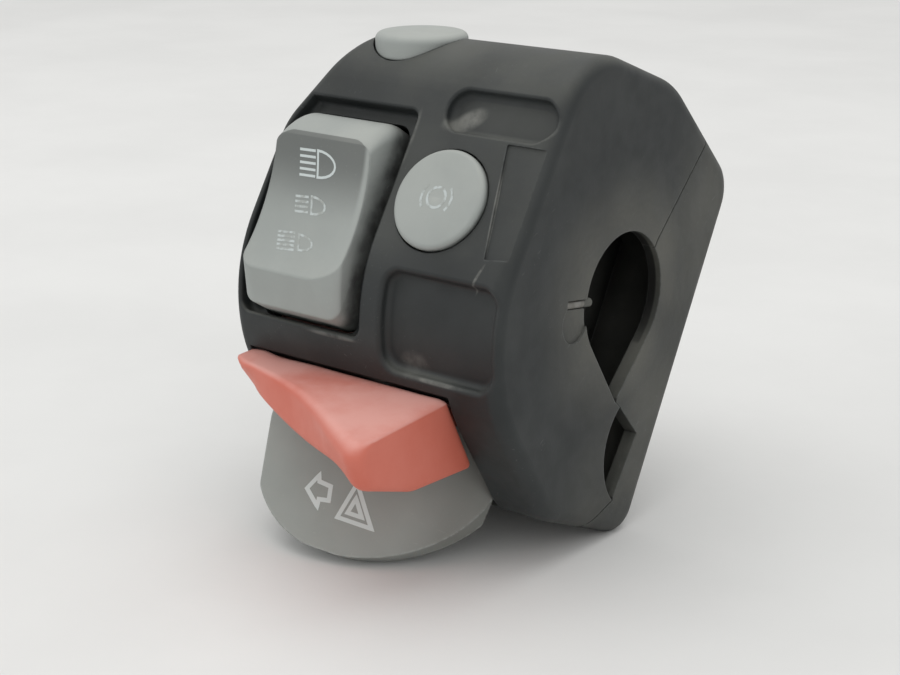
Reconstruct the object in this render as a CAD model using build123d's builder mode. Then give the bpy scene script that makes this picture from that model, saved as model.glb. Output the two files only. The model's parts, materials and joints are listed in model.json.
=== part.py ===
"""Switch cluster for the left end of a motorcycle's handlebar: a moulded housing in two halves that clamps
on the bar, with a dip rocker, two push buttons, a horn lever, a turn lever and the switchgear behind them."""

import os
from math import cos, pi, radians, sin, sqrt

from build123d import *

# The origin is the centre of the bar's bore at the inboard end face. X runs along the bar to the inboard
# side, Z is up and -Y faces the rider. The switch face leans back by the rake. Inside the housing u counts
# from the inboard end towards the grip, h from the bar's axis out to the rider, and v up the switch face.

# Handlebar and housing
rake = 32.3
bar_diameter = 22.2
bar_slack = 0.1
body_length = 55.0
wall = 2.4
end_wall = 2.5
inboard_edge_radius = 2.4
grip_edge_radius = 2.2
overrun = 0.11 * body_length
reach = 1.5 * body_length

# Corners of the housing's side profile, and the radius at each
face_height = 33.0
brow_height = 30.6
brow_radius = 13.5
crown_depth = 5.0
crown_height = 36.4
crown_radius = 16.0
chin_drop = 22.7
chin_radius = 27.0
keel_depth = 0.2
keel_drop = 38.9
keel_radius = 10.0
heel_depth = 25.6
heel_drop = 35.2
heel_radius = 5.5
nape_depth = 21.9
nape_height = 30.2
nape_radius = 7.0

# Shoulder where the grip end slopes in above the rocker
shoulder_height = 11.0
shoulder_run = 0.2182 * body_length
shoulder_rise = 23.0
shoulder_radius = 12.0
grip_foot_radius = 8.0

# Parting surface between the halves, and the cable eye in the inboard end
part_top_depth = 10.9
part_top_height = 40.0
part_bore_depth = 3.8
part_bore_height = 11.8
slot_tip_depth = 7.7
slot_tip_drop = 15.8
eye_top_depth = 9.7
eye_top_drop = 16.1
eye_corner_depth = 17.7
eye_corner_drop = 18.5
eye_foot_depth = 16.9
eye_foot_drop = 30.7
eye_belly_depth = 8.7
eye_belly_drop = 23.4
eye_belly_bulge = 1.2
eye_middle_depth = 13.0
eye_middle_drop = 24.0
part_foot_depth = 11.8
part_foot_drop = 36.4
seam_width = 0.35
seam_depth = 0.6

# General clearances
fit_gap = 0.02
pin_gap = 0.05
move_gap = 0.3
edge_shares = (0.1, 0.5, 0.9)
edge_middle = 0.5
aligned = 0.999

# Rocker recess and the round button's seat
recess_inboard = 0.4945 * body_length
recess_grip = 0.9709 * body_length
recess_top = 15.8
recess_drop = 21.4
recess_depth = 3.0
recess_corner = 1.8
recess_rim = 1.6
floor_backing = 1.8
rocker_inboard = 0.5455 * body_length
rocker_grip = 0.9255 * body_length
rocker_top = 13.1
rocker_drop = 20.5
rocker_side_gap = 0.35
rocker_top_gap = 0.65
rocker_low_gap = 0.4
button_u = 0.3073 * body_length
button_v = 1.7
button_radius = 0.152 * body_length

# Finger pockets in the switch face
pocket_depth = 2.0
pocket_backing = 1.6
pocket_corner = 2.6
slot_inboard = 0.0255 * body_length
slot_grip = 0.4 * body_length
slot_low = 13.2
slot_high = 20.4
slot_corner = 3.4
square_inboard = 0.0291 * body_length
square_grip = 0.4164 * body_length
square_high_drop = 10.4
square_low_drop = 24.6
slot_rim_radius = 0.5
square_rim_radius = 0.8
recess_rim_radius = 0.5
slot_floor_radius = 1.2
square_floor_radius = 0.9
recess_floor_radius = 0.8

# Shallow panel between the round button and the inboard edge, as corners in u and v
panel_corners = ((0.0, -4.6), (5.3, -6.2), (7.9, 9.4), (8.4, 12.4), (0.0, 12.4))
panel_depth = 0.35
panel_radius = 0.3

# Opening for the levers under the switch face, and the wall beside it
lip_drop = 26.5
lip_height = 12.0
mouth_back_depth = 4.0
mouth_back_drop = 30.0
mouth_inboard = 0.1818 * body_length
divider_thickness = 2.0
divider_drop = 17.8
divider_depth = 10.0

# Screws that hold the halves together
boss_radius = 4.0
boss_front = 8.0
low_boss_front = -3.2
high_boss_v = 22.5
low_boss_drop = 25.5
boss_us = (0.2182 * body_length, 0.7455 * body_length, 0.5455 * body_length)
boss_web = 2.0
screw_radius = 2.0
screw_head_radius = 3.6
screw_head_height = 2.6
screw_hole_gap = 0.2
head_pocket_gap = 0.4
head_floor_depth = 17.0
low_head_floor_depth = 19.4
drive_radius = 1.2
drive_depth = 1.4
insert_radius = 2.8
insert_length = 7.0
screw_engagement = 6.0

# Ribs that hold the bar
rib_thickness = 2.0
rib_us = (0.3091 * body_length, 0.6364 * body_length)
rib_front = 13.4
rib_drop = 15.0

# Switch carrier, its screws, and the contact board behind it
carrier_back = 20.0
carrier_front = 22.0
carrier_inboard = 0.0727 * body_length
carrier_grip = 0.92 * body_length
carrier_top = 12.0
carrier_drop = 17.4
carrier_corner = 1.5
post_radius = 2.1
post_us_vs = [
    (share * body_length, v) for share, v in ((0.0982, 9.4), (0.0982, -9.0), (0.4909, 10.4), (0.4909, -11.4))
]
carrier_screw_radius = 0.9
carrier_screw_head = 1.8
carrier_screw_head_height = 1.2
carrier_screw_length = 7.0
board_back = 14.0
board_front = 15.6
board_inboard = 0.2091 * body_length
board_grip = 0.8455 * body_length
board_top = 20.5
board_drop = 17.6
spacer_radius = 2.0
spacer_us_vs = [
    (share * body_length, v) for share, v in ((0.2545, -12.5), (0.8036, -12.5), (0.8036, 8.5))
]
board_screw_radius = 0.9
board_screw_head = 1.8
board_screw_head_height = 0.9
board_screw_length = 5.0

# Dip rocker
rocker_pin_h = 26.0
rocker_pin_v = -4.2
rocker_pin_radius = 1.25
rocker_waist_height = 34.1
rocker_crest_height = rocker_waist_height + 3.1
rocker_top_crest = 7.2
rocker_low_crest_drop = 15.3
rocker_skirt_height = rocker_pin_h - 1.2
rocker_floor_height = rocker_waist_height - 3.1
rocker_shell = 1.6
rocker_corner = 2.6
rocker_low_crest_height = rocker_waist_height + 0.8
rocker_waist_drop = 5.2
rocker_cavity_top = 10.4
rocker_cavity_drop = 17.3
# Outlines of the rocker: height over its floor, how far the inboard side, the low end and the top end are
# drawn in there, and the radii at the corners
rocker_rows = (
    (0.0, 0.0, 0.0, 0.0, (3.0, 2.2, 2.6, 3.0)), (3.0, 0.3, 3.7, 1.0, (3.2, 4.8, 3.0, 3.4)),
    (6.6, 0.8, 8.1, 6.1, (3.4, 12.6, 3.6, 4.0)),
)
lobe_radius = 2.5
ear_us = (0.6182 * body_length, 0.8182 * body_length)
ear_thickness = 2.0
ear_radius = 2.4
hub_inboard = 0.6836 * body_length
hub_grip = 0.7891 * body_length
nose_length = 1.0
nose_radius = 0.6
leg_radius = 1.1
leg_end = 27.3

# Detent leaf under the rocker's nose
leaf_thickness = 0.4
leaf_width = 5.0
leaf_low_drop = 11.8
leaf_high = 4.6
leaf_hump = 0.35
leaf_valley = 2.6
stake_radius = 0.8
stake_drop = 10.4
stake_height = 0.9

# Dip switches on the carrier, under the rocker's ends
dip_switch_width = 4.4
dip_switch_length = 6.4
dip_switch_height = 2.6
dip_switch_high_v = 7.7
dip_switch_low_v = -14.3
dip_plunger_radius = 0.9
dip_plunger_height = 1.1

# Round button, its contact and its spring
button_top = 34.4
button_gap = 0.3
button_edge_radius = 0.8
button_dome = 0.4
flange_overlap = 0.8
flange_radius = button_radius + flange_overlap
flange_well_gap = 0.2
flange_thickness = 1.1
button_stem_radius = 2.5
button_stem_end = 18.9
bridge_length = 6.6
bridge_width = 2.2
bridge_thickness = 0.7
pad_radius = 0.9
pad_height = 0.3
pad_spread = 2.2
button_spring_radius = 3.7
spring_wire = 0.6
button_spring_turns = 4

# Top button, upright, in its own well under the crown
cap_x = -0.6764 * body_length
cap_y = -6.6
cap_radius = 7.8
cap_top = 41.5
cap_dome = 0.3
cap_edge_radius = 1.2
cap_underside = 37.4
cap_gap = 0.3
well_shelf_top = 32.6
well_shelf_bottom = 31.0
well_half_width = 9.6
well_back = 3.0
well_web = 1.6
well_front = 18.0
cap_stem_radius = 2.2
cap_stem_end = 28.8
clip_radius = 3.7
clip_thickness = 0.6
clip_groove = 0.5
clip_width_share = 0.3
cap_spring_radius = 3.4
cap_spring_turns = 3

# Top button's switch, a wedge on the board
wedge_inboard = 0.6 * body_length
wedge_grip = 0.7527 * body_length
wedge_foot_low = 12.9
wedge_foot_high = 20.3
wedge_face_top = 26.2
wedge_face_front = 2.4
wedge_face_back = 3.6
wedge_nib_radius = 1.2
wedge_nib_height = 0.3

# Lever pins and springs
horn_pin_h = 17.4
horn_pin_v = -20.6
turn_pin_h = 6.0
turn_pin_v = -21.0
lever_pin_radius = 1.25
lever_pin_seat = 1.3
lever_hub_radius = 2.6
lever_end_gap = 1.2
lever_spring_inboard = 0.44 * body_length
lever_spring_grip = 0.5236 * body_length
lever_spring_radius = 2.05
lever_spring_turns = 3
lever_spring_wire = 0.5
lever_spring_leg = 2.6

# Horn lever: a hooked paddle whose sections follow these shares of its reach and drop
horn_root_h = 22.6
horn_root_v = -27.9
horn_top_lift = 1.0
horn_reach = 18.4
horn_drop = 17.4
horn_inboard = 0.1873 * body_length
horn_length = 0.7636 * body_length
horn_neck_back = 15.2
horn_neck_front = 17.8
horn_neck_waist_h = 16.7
horn_neck_waist_v = -26.0
horn_neck_throat_h = 19.2
horn_neck_throat_v = -27.3
horn_neck_thickness = 1.6
horn_neck_inset = 0.4
horn_neck_drop = 1.5
horn_neck_foot = 5.4
horn_u_shares = (0.0, 0.088, 0.195, 0.35, 0.53, 0.707, 0.874, 1.0)
horn_ridge_shares = (
    (1.0, 0.706), (0.967, 0.667), (0.859, 0.563), (0.663, 0.42), (0.473, 0.287), (0.359, 0.195),
    (0.283, 0.138), (0.179, 0.075),
)
horn_low_shares = (
    (0.652, 0.983), (0.663, 0.937), (0.587, 0.828), (0.402, 0.753), (0.239, 0.655), (0.158, 0.512),
    (0.087, 0.328), (0.049, 0.167),
)
horn_belly_shares = (
    (0.022, 0.822), (0.065, 0.805), (0.109, 0.753), (0.109, 0.69), (0.054, 0.603), (0.016, 0.46),
    (-0.027, 0.305), (-0.016, 0.163),
)
horn_corner_radii = (0.3, 2.6, 3.2, 7.0, 0.6)
horn_back_shares = (
    (-0.701, 0.379), (-0.603, 0.477), (-0.467, 0.569), (-0.277, 0.592), (-0.179, 0.523), (-0.141, 0.408),
    (-0.098, 0.27), (-0.06, 0.155),
)
# Rounding of the lever's inboard end: share of the length, and how much the section is drawn in
horn_end_rows = ((0.0, 0.107), (0.0126, 0.031), (0.043, 0.0))
horn_middle_h = 24.0
horn_middle_v = -34.0

# Turn lever: a dished plate with a rounded rim
turn_grip_u = 0.9327 * body_length
turn_grip_h = 13.9
turn_middle_u = 0.5091 * body_length
turn_middle_h = 12.0
turn_inboard_u = 0.1891 * body_length
turn_inboard_h = 1.6
turn_thickness = 2.4
turn_top = 27.0
turn_side_run = 3.7
turn_side_drop = 47.9
turn_shoulder_run = 0.4
turn_shoulder_drop = 36.0
turn_corner = 3.0
turn_rim_u = 0.5273 * body_length
turn_rim_drop = 54.8
turn_end_drop = 37.4
turn_neck_inboard = 0.3636 * body_length
turn_neck_grip = 0.8 * body_length
turn_neck_back = 3.5
turn_neck_front = 8.4
turn_neck_low = 33.0

# Switches behind the board, and the lever arms that press them
lever_switch_length = 4.8
lever_switch_height = 4.8
plunger_radius = 0.8
plunger_height = 0.6
arm_width = 3.0
arm_radius = 0.7
horn_switch_u = 0.58 * body_length
horn_switch_back = 9.6
horn_switch_v = -17.3
horn_arm_h = 10.6
horn_arm_v = -19.4
turn_switch_u = 0.4 * body_length
turn_switch_back = 10.2
turn_switch_v = -16.9
turn_arm_h = 8.0
turn_arm_v = -14.5

# Terminal block behind the board
terminal_inboard = 0.3818 * body_length
terminal_grip = 0.6 * body_length
terminal_low = 13.6
terminal_high = 19.8
terminal_back = 9.6
terminal_hole_radius = 0.7
terminal_hole_depth = 3.0
terminal_pitch = 2.3
terminal_count = 5

# Locating peg in the inboard end
peg_radius = 0.75
peg_outer_height = 15.2
peg_outer_drop = 6.6
peg_setback = 0.9
peg_bar_gap = 0.1
hollow_radius = 3.4
hollow_depth = 0.4
hollow_height = 11.6
hollow_drop = 8.2

tilt = radians(rake)
OUTWARD = Vector(0, -cos(tilt), sin(tilt))
UPWARD = Vector(0, sin(tilt), cos(tilt))
bore_radius = bar_diameter / 2 + bar_slack
grip_wall_u = body_length - end_wall
os.makedirs("parts", exist_ok=True)


def end_plane(u):
    """Plane across the bar: its x is h, its y is v, and its normal runs towards the grip."""
    return Plane(origin=(-u, 0, 0), x_dir=OUTWARD, z_dir=(-1, 0, 0))


def face_plane(h):
    """Plane along the switch face: its x is -u, its y is v, and its normal runs out to the rider."""
    return Plane(origin=OUTWARD * h, x_dir=(1, 0, 0), z_dir=OUTWARD)


def level_plane(z):
    """Level plane, for the upright top button."""
    return Plane.XY.offset(z)


def rod(plane, x, y, radius, length, mode=Mode.ADD):
    """Cylinder that stands on a plane, in the part being built."""
    with BuildSketch(plane) as section:
        with Locations((x, y)):
            Circle(radius)
    extrude(section.sketch, amount=length, mode=mode)


def slab(plane, x_span, y_span, length, corner=0, mode=Mode.ADD):
    """Block with a rectangular or rounded section that stands on a plane, in the part being built."""
    width = max(x_span) - min(x_span)
    height = max(y_span) - min(y_span)
    with BuildSketch(plane) as section:
        with Locations((sum(x_span) / 2, sum(y_span) / 2)):
            if corner:
                RectangleRounded(width, height, corner)
            else:
                Rectangle(width, height)
    extrude(section.sketch, amount=length, mode=mode)


def prism(plane, points, length, mode=Mode.ADD):
    """Straight-sided block that stands on a plane, in the part being built."""
    with BuildSketch(plane) as section:
        with BuildLine():
            Polyline(*points, close=True)
        make_face()
    extrude(section.sketch, amount=length, mode=mode)


def grown(spans, amount):
    """Both spans of a rectangle, let out by an amount."""
    return tuple((low - amount, high + amount) for low, high in spans)


def side_profile(inset):
    """Face of the housing's side profile at the inboard end, drawn in by an inset."""
    corners = (
        (face_height, brow_height), (face_height, -chin_drop), (keel_depth, -keel_drop),
        (-heel_depth, -heel_drop), (-nape_depth, nape_height), (crown_depth, crown_height),
    )
    radii = (brow_radius, chin_radius, keel_radius, heel_radius, nape_radius, crown_radius)
    with BuildSketch(end_plane(0)) as section:
        with BuildLine():
            FilletPolyline(*corners, radius=radii, close=True)
        make_face()
        if inset:
            offset(amount=-inset)
    return section.sketch


def front_outline(inset):
    """Face of the housing's outline from the front, drawn in by an inset."""
    slope = shoulder_run / shoulder_rise
    top_u = body_length - slope * (reach - shoulder_height)
    corners = (
        (overrun, -keel_drop), (overrun, reach), (-top_u, reach), (-body_length, shoulder_height),
        (-body_length, -keel_drop),
    )
    radii = (0, 0, 0, shoulder_radius, grip_foot_radius)
    with BuildSketch(face_plane(-reach)) as section:
        with BuildLine():
            FilletPolyline(*corners, radius=radii, close=True)
        make_face()
        if inset:
            offset(amount=-inset)
    return section.sketch


def housing_block(inset, start_u, end_u):
    """Solid of the housing's outer form, drawn in by an inset, between two places along the bar."""
    with BuildPart() as block:
        extrude(side_profile(inset), amount=body_length + overrun)
        extrude(front_outline(inset), amount=reach + reach, mode=Mode.INTERSECT)
        if start_u:
            slab(end_plane(0), (-reach, reach), (-reach, reach), start_u, mode=Mode.SUBTRACT)
        slab(end_plane(end_u), (-reach, reach), (-reach, reach), reach, mode=Mode.SUBTRACT)
    return block.part


def skin_patch(outer_inset, inner_inset, u_span, v_span, corner, rim=0):
    """Piece of the switch face's skin between two insets, in a rounded rectangle and inside the rim."""
    with BuildPart() as patch:
        extrude(side_profile(outer_inset), amount=body_length + overrun)
        extrude(side_profile(inner_inset), amount=body_length + overrun, mode=Mode.SUBTRACT)
        with BuildSketch(face_plane(0)) as window:
            with Locations((-sum(u_span) / 2, sum(v_span) / 2)):
                RectangleRounded(u_span[1] - u_span[0], v_span[1] - v_span[0], corner)
        extrude(window.sketch, amount=reach, mode=Mode.INTERSECT)
        extrude(front_outline(rim), amount=reach + reach, mode=Mode.INTERSECT)
    return patch.part


def lies_on(edge, profile):
    """Whether an edge follows the surface that a profile makes along the bar."""
    spots = [edge @ share for share in edge_shares]
    return all(profile.distance_to(Vector(0, spot.Y, spot.Z)) < fit_gap for spot in spots)


def pocket_cutter(depth, spans, corner, floor_radius, rim=0):
    """Cutter for a pocket in the switch face, with the edge of its floor rounded."""
    profile = side_profile(depth).wires()[0]
    with BuildPart() as cutter:
        add(skin_patch(-overrun, depth, *spans, corner, rim))
        fillet([edge for edge in cutter.edges() if lies_on(edge, profile)], radius=floor_radius)
    return cutter.part


def in_window(spot, spans):
    """Whether a point of the switch face lies in a window given by its spans in u and v."""
    (u_low, u_high), (v_low, v_high) = grown(spans, fit_gap)
    return u_low < -spot.X < u_high and v_low < spot.dot(UPWARD) < v_high and spot.dot(OUTWARD) > 0


def rim_edges(form, skin, spans):
    """Edges that a pocket leaves where it breaks through the outer skin."""
    chosen = []
    for edge in form.edges():
        spots = [edge @ share for share in edge_shares]
        if all(in_window(spot, spans) for spot in spots):
            if max(skin.distance_to(spot) for spot in spots) < fit_gap:
                chosen.append(edge)
    return chosen


def grip_end_edges(form):
    """Edges round the grip end, apart from those that run out to the rider or along the bar."""
    chosen = []
    for edge in form.edges():
        way = edge.tangent_at(edge_middle)
        if edge.center().X < -body_length + shoulder_run + grip_edge_radius:
            if max(abs(way.dot(OUTWARD)), abs(way.X)) < aligned:
                chosen.append(edge)
    return chosen


def rear_region():
    """Everything behind the parting surface, as one block along the whole bar."""
    points = (
        (-part_top_depth, part_top_height), (-part_bore_depth, part_bore_height), (-part_bore_depth, 0),
        (-slot_tip_depth, -slot_tip_drop), (-eye_top_depth, -eye_top_drop),
        (-eye_middle_depth, -eye_middle_drop), (-eye_foot_depth, -eye_foot_drop),
        (-part_foot_depth, -part_foot_drop), (-part_foot_depth, -reach), (-reach, -reach),
        (-reach, part_top_height),
    )
    with BuildPart() as region:
        prism(end_plane(-overrun), points, body_length + overrun + overrun)
    return region.part


def bar_bore():
    """Round bore for the bar, with the pointed slot below it in the inboard wall."""
    tip_distance = sqrt(slot_tip_depth ** 2 + slot_tip_drop ** 2)
    along = Vector(-slot_tip_depth, -slot_tip_drop) / tip_distance
    across = Vector(-along.Y, along.X)
    near = bore_radius ** 2 / tip_distance
    side = bore_radius * sqrt(tip_distance ** 2 - bore_radius ** 2) / tip_distance
    left = along * near + across * side
    right = along * near - across * side
    tip = along * tip_distance
    with BuildPart() as bore:
        rod(end_plane(-overrun), 0, 0, bore_radius, body_length + overrun + overrun)
        points = ((0, 0), (left.X, left.Y), (tip.X, tip.Y), (right.X, right.Y))
        prism(end_plane(-overrun), points, overrun + end_wall)
    return bore.part


def cable_eye():
    """Opening between the halves in the inboard wall, where the loom leaves."""
    top = (-eye_top_depth, -eye_top_drop)
    foot = (-eye_foot_depth, -eye_foot_drop)
    corner = (-eye_corner_depth, -eye_corner_drop)
    belly = (-eye_belly_depth - eye_belly_bulge, -eye_belly_drop - eye_belly_bulge)
    with BuildPart() as eye:
        with BuildSketch(end_plane(-overrun)) as section:
            with BuildLine():
                ThreePointArc(top, belly, foot)
                Line(foot, corner)
                Line(corner, top)
            make_face()
        extrude(section.sketch, amount=overrun + end_wall)
    return eye.part


def screw_places():
    """The three housing screws: place along the bar, place up the face, boss front and head floor."""
    high = (high_boss_v, boss_front, head_floor_depth)
    low = (-low_boss_drop, low_boss_front, low_head_floor_depth)
    return [(u, *row) for u, row in zip(boss_us, (high, high, low))]


def domed_rod(plane, x, y, radius, length, dome, edge_radius):
    """Cylinder that stands on a plane, with a domed top and a rounded edge, in the part being built."""
    foot = plane.from_local_coords((x, y))
    with BuildSketch(Plane(origin=foot, x_dir=plane.x_dir, z_dir=-plane.y_dir)) as section:
        with BuildLine():
            Polyline((0, length), (0, 0), (radius, 0), (radius, length - dome))
            TangentArc((0, length), (radius, length - dome), tangent=(1, 0))
        make_face()
        fillet(section.vertices().group_by(Axis.X)[-1].sort_by(Axis.Y)[-1], radius=edge_radius)
    revolve(section.sketch, axis=Axis(foot, plane.z_dir))


def helix_place(plane, radius, pitch, angle):
    """Point and direction of a helix about a plane's normal."""
    point = plane.origin + plane.x_dir * (radius * cos(angle)) + plane.y_dir * (radius * sin(angle))
    point = point + plane.z_dir * (pitch * angle / (2 * pi))
    way = plane.y_dir * (radius * cos(angle)) - plane.x_dir * (radius * sin(angle))
    way = way + plane.z_dir * (pitch / (2 * pi))
    return point, way.normalized()


def biarc(start, start_way, end, end_way):
    """Two tangent arcs from one point and direction to another."""
    chord = end - start
    both = start_way + end_way
    spread = 2 * (1 - start_way.dot(end_way))
    pull = (sqrt(chord.dot(both) ** 2 + spread * chord.dot(chord)) - chord.dot(both)) / spread
    first = start + start_way * pull
    second = end - end_way * pull
    middle = (first + second) / 2
    TangentArc(start, middle, tangent=start_way)
    TangentArc(middle, end, tangent=second - first)


def coil(plane, radius, length, turns, wire, lead):
    """Wound wire about a plane's normal, with straight ends, and its least gap to itself."""
    pitch = (length - wire) / turns
    quarters = 4 * turns
    places = [helix_place(plane, radius, pitch, 2 * pi * turns * k / quarters) for k in range(quarters + 1)]
    first, first_way = places[0]
    last, last_way = places[-1]
    with BuildPart() as wound:
        with BuildLine() as path:
            Line(first - first_way * lead, first)
            for (start, start_way), (end, end_way) in zip(places, places[1:]):
                biarc(start, start_way, end, end_way)
            Line(last, last + last_way * lead)
        with BuildSketch(Plane(origin=first - first_way * lead, z_dir=first_way)) as section:
            Circle(wire / 2)
        sweep(section.sketch, path=path.line)
    print("coil: gap between turns", round(pitch - wire, 2), "volume", round(wound.part.volume, 2))
    return wound.part


outer = housing_block(0, 0, body_length)
with BuildPart() as softened:
    add(outer)
    fillet(softened.edges().group_by(Axis.X)[-1], radius=inboard_edge_radius)
    fillet(grip_end_edges(softened), radius=grip_edge_radius)
outer_form = softened.part
cavity = housing_block(wall, end_wall, grip_wall_u)
rear_half = rear_region()
bore = bar_bore()
eye = cable_eye()
rocker_middle = (rocker_inboard + rocker_grip) / 2

# Main housing: the front half, with the switch face
slot_spans = ((slot_inboard, slot_grip), (slot_low, slot_high))
square_spans = ((square_inboard, square_grip), (-square_low_drop, -square_high_drop))
recess_spans = ((recess_inboard, recess_grip), (-recess_drop, recess_top))

backings = [
    skin_patch(wall - fit_gap, depth, *grown(spans, pocket_backing), corner)
    for depth, spans, corner in (
        (pocket_depth + pocket_backing, slot_spans, slot_corner),
        (pocket_depth + pocket_backing, square_spans, pocket_corner),
        (recess_depth + floor_backing, recess_spans, recess_corner),
    )
]
pockets = [
    (pocket_cutter(pocket_depth, slot_spans, slot_corner, slot_floor_radius), slot_spans, slot_rim_radius),
    (pocket_cutter(pocket_depth, square_spans, pocket_corner, square_floor_radius), square_spans,
     square_rim_radius),
    (pocket_cutter(recess_depth, recess_spans, recess_corner, recess_floor_radius, recess_rim), recess_spans,
     recess_rim_radius),
]
outer_skin = outer_form.shell()
with BuildPart() as dressed:
    add(outer_form)
    for cutter, spans, rim_radius in pockets:
        add(cutter, mode=Mode.SUBTRACT)
        fillet(rim_edges(dressed, outer_skin, spans), radius=rim_radius)
    panel = [(-u, v) for u, v in panel_corners]
    panel[0] = (overrun, panel[0][1])
    panel[-1] = (overrun, panel[-1][1])
    with BuildSketch(face_plane(face_height - panel_depth)) as panel_sketch:
        with BuildLine():
            Polyline(*panel, close=True)
        make_face()
        fillet(panel_sketch.vertices().sort_by(Axis.X)[:2], radius=panel_radius)
    extrude(panel_sketch.sketch, amount=reach, mode=Mode.SUBTRACT)
with BuildPart() as divider:
    divider_u = mouth_inboard - divider_thickness
    slab(end_plane(divider_u), (-divider_depth, reach), (-reach, -divider_drop), divider_thickness)
    add(cavity, mode=Mode.INTERSECT)
with BuildPart() as ribs:
    for rib_u in rib_us:
        slab(end_plane(rib_u), (-reach, rib_front), (-rib_drop, reach), rib_thickness)
    add(cavity, mode=Mode.INTERSECT)
with BuildPart() as rear_ribs:
    for rib_u in rib_us:
        slab(end_plane(rib_u), (-reach, 0), (-rib_drop, rib_drop), rib_thickness)
    add(cavity, mode=Mode.INTERSECT)
with BuildPart() as bosses:
    for boss_u, boss_v, front, floor in screw_places():
        rod(face_plane(-reach), -boss_u, boss_v, boss_radius, reach + front)
        edge_v = reach if boss_v > 0 else -reach
        web_u = (-boss_u - boss_web / 2, -boss_u + boss_web / 2)
        slab(face_plane(-reach), web_u, (boss_v, edge_v), reach + front)
    add(cavity, mode=Mode.INTERSECT)
with BuildPart() as well:
    slab(
        level_plane(well_shelf_bottom), (cap_x - well_half_width, cap_x + well_half_width),
        (cap_y - well_front, well_back), well_shelf_top - well_shelf_bottom,
    )
    for side in (-1, 1):
        web_x = cap_x + side * (well_half_width - well_web / 2)
        slab(
            level_plane(well_shelf_bottom), (web_x - well_web / 2, web_x + well_web / 2),
            (cap_y - well_front, well_back), reach,
        )
    add(cavity, mode=Mode.INTERSECT)
    rod(level_plane(0), cap_x, cap_y, cap_stem_radius + pin_gap, reach, mode=Mode.SUBTRACT)

with BuildPart() as main_housing:
    add(dressed.part)
    add(cavity, mode=Mode.SUBTRACT)
    for backing in backings:
        add(backing)
    add(divider.part)
    add(ribs.part)
    add(bosses.part)
    add(well.part)
    for post_u, post_v in post_us_vs:
        rod(face_plane(carrier_front), -post_u, post_v, post_radius, face_height - wall - carrier_front)
    for cutter, spans, rim_radius in pockets:
        add(cutter, mode=Mode.SUBTRACT)
    # Openings for the rocker, the round button and the top button
    slab(
        face_plane(carrier_front), (-rocker_grip - rocker_side_gap, -rocker_inboard + rocker_side_gap),
        (-rocker_drop - rocker_low_gap, rocker_top + rocker_top_gap), reach, corner=rocker_corner,
        mode=Mode.SUBTRACT,
    )
    rod(face_plane(carrier_front), -button_u, button_v, button_radius + button_gap, reach, mode=Mode.SUBTRACT)
    rod(face_plane(carrier_front), -button_u, button_v, flange_radius + flange_well_gap,
        face_height - wall - carrier_front, mode=Mode.SUBTRACT)
    rod(level_plane(well_shelf_top), cap_x, cap_y, cap_radius + cap_gap, reach, mode=Mode.SUBTRACT)
    # Mouth for the levers
    mouth = (
        (reach, -lip_drop), (lip_height, -lip_drop), (-mouth_back_depth, -mouth_back_drop),
        (-mouth_back_depth, -reach), (reach, -reach),
    )
    prism(end_plane(mouth_inboard), mouth, grip_wall_u - mouth_inboard, mode=Mode.SUBTRACT)
    # Everything that belongs to the rear half, the bar and the loom
    add(rear_half, mode=Mode.SUBTRACT)
    add(bore, mode=Mode.SUBTRACT)
    add(eye, mode=Mode.SUBTRACT)
    # Holes for inserts, carrier screws, pins and the peg
    for boss_u, boss_v, front, floor in screw_places():
        rod(face_plane(-reach), -boss_u, boss_v, insert_radius + fit_gap, reach + front - boss_web,
            mode=Mode.SUBTRACT)
    for post_u, post_v in post_us_vs:
        rod(face_plane(carrier_front), -post_u, post_v, carrier_screw_radius + fit_gap,
            carrier_screw_length, mode=Mode.SUBTRACT)
    pin_start = mouth_inboard - lever_pin_seat
    pin_length = grip_wall_u + lever_pin_seat - pin_start
    for pin_h, pin_v in ((horn_pin_h, horn_pin_v), (turn_pin_h, turn_pin_v)):
        rod(end_plane(pin_start), pin_h, pin_v, lever_pin_radius + fit_gap, pin_length, mode=Mode.SUBTRACT)
    rod(end_plane(-overrun), hollow_height, -hollow_drop, hollow_radius, overrun + hollow_depth,
        mode=Mode.SUBTRACT)
    peg_far = Vector(peg_outer_height, -peg_outer_drop)
    peg_way = peg_far.normalized()
    peg_near = peg_way * (bore_radius + peg_bar_gap)
    peg_start = end_plane(peg_setback).from_local_coords(peg_near)
    peg_end = end_plane(peg_setback).from_local_coords(peg_far)
    peg_plane = Plane(origin=peg_start, x_dir=(1, 0, 0), z_dir=peg_end - peg_start)
    peg_length = (peg_end - peg_start).length
    rod(peg_plane.offset(-overrun), 0, 0, peg_radius + fit_gap, peg_length + overrun, mode=Mode.SUBTRACT)
    slab(peg_plane.offset(-overrun), (0, overrun), (-peg_radius - fit_gap, peg_radius + fit_gap),
         peg_length + overrun, mode=Mode.SUBTRACT)
main_housing.part.label = "main_housing"
export_step(main_housing.part, "parts/main_housing.step")

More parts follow.
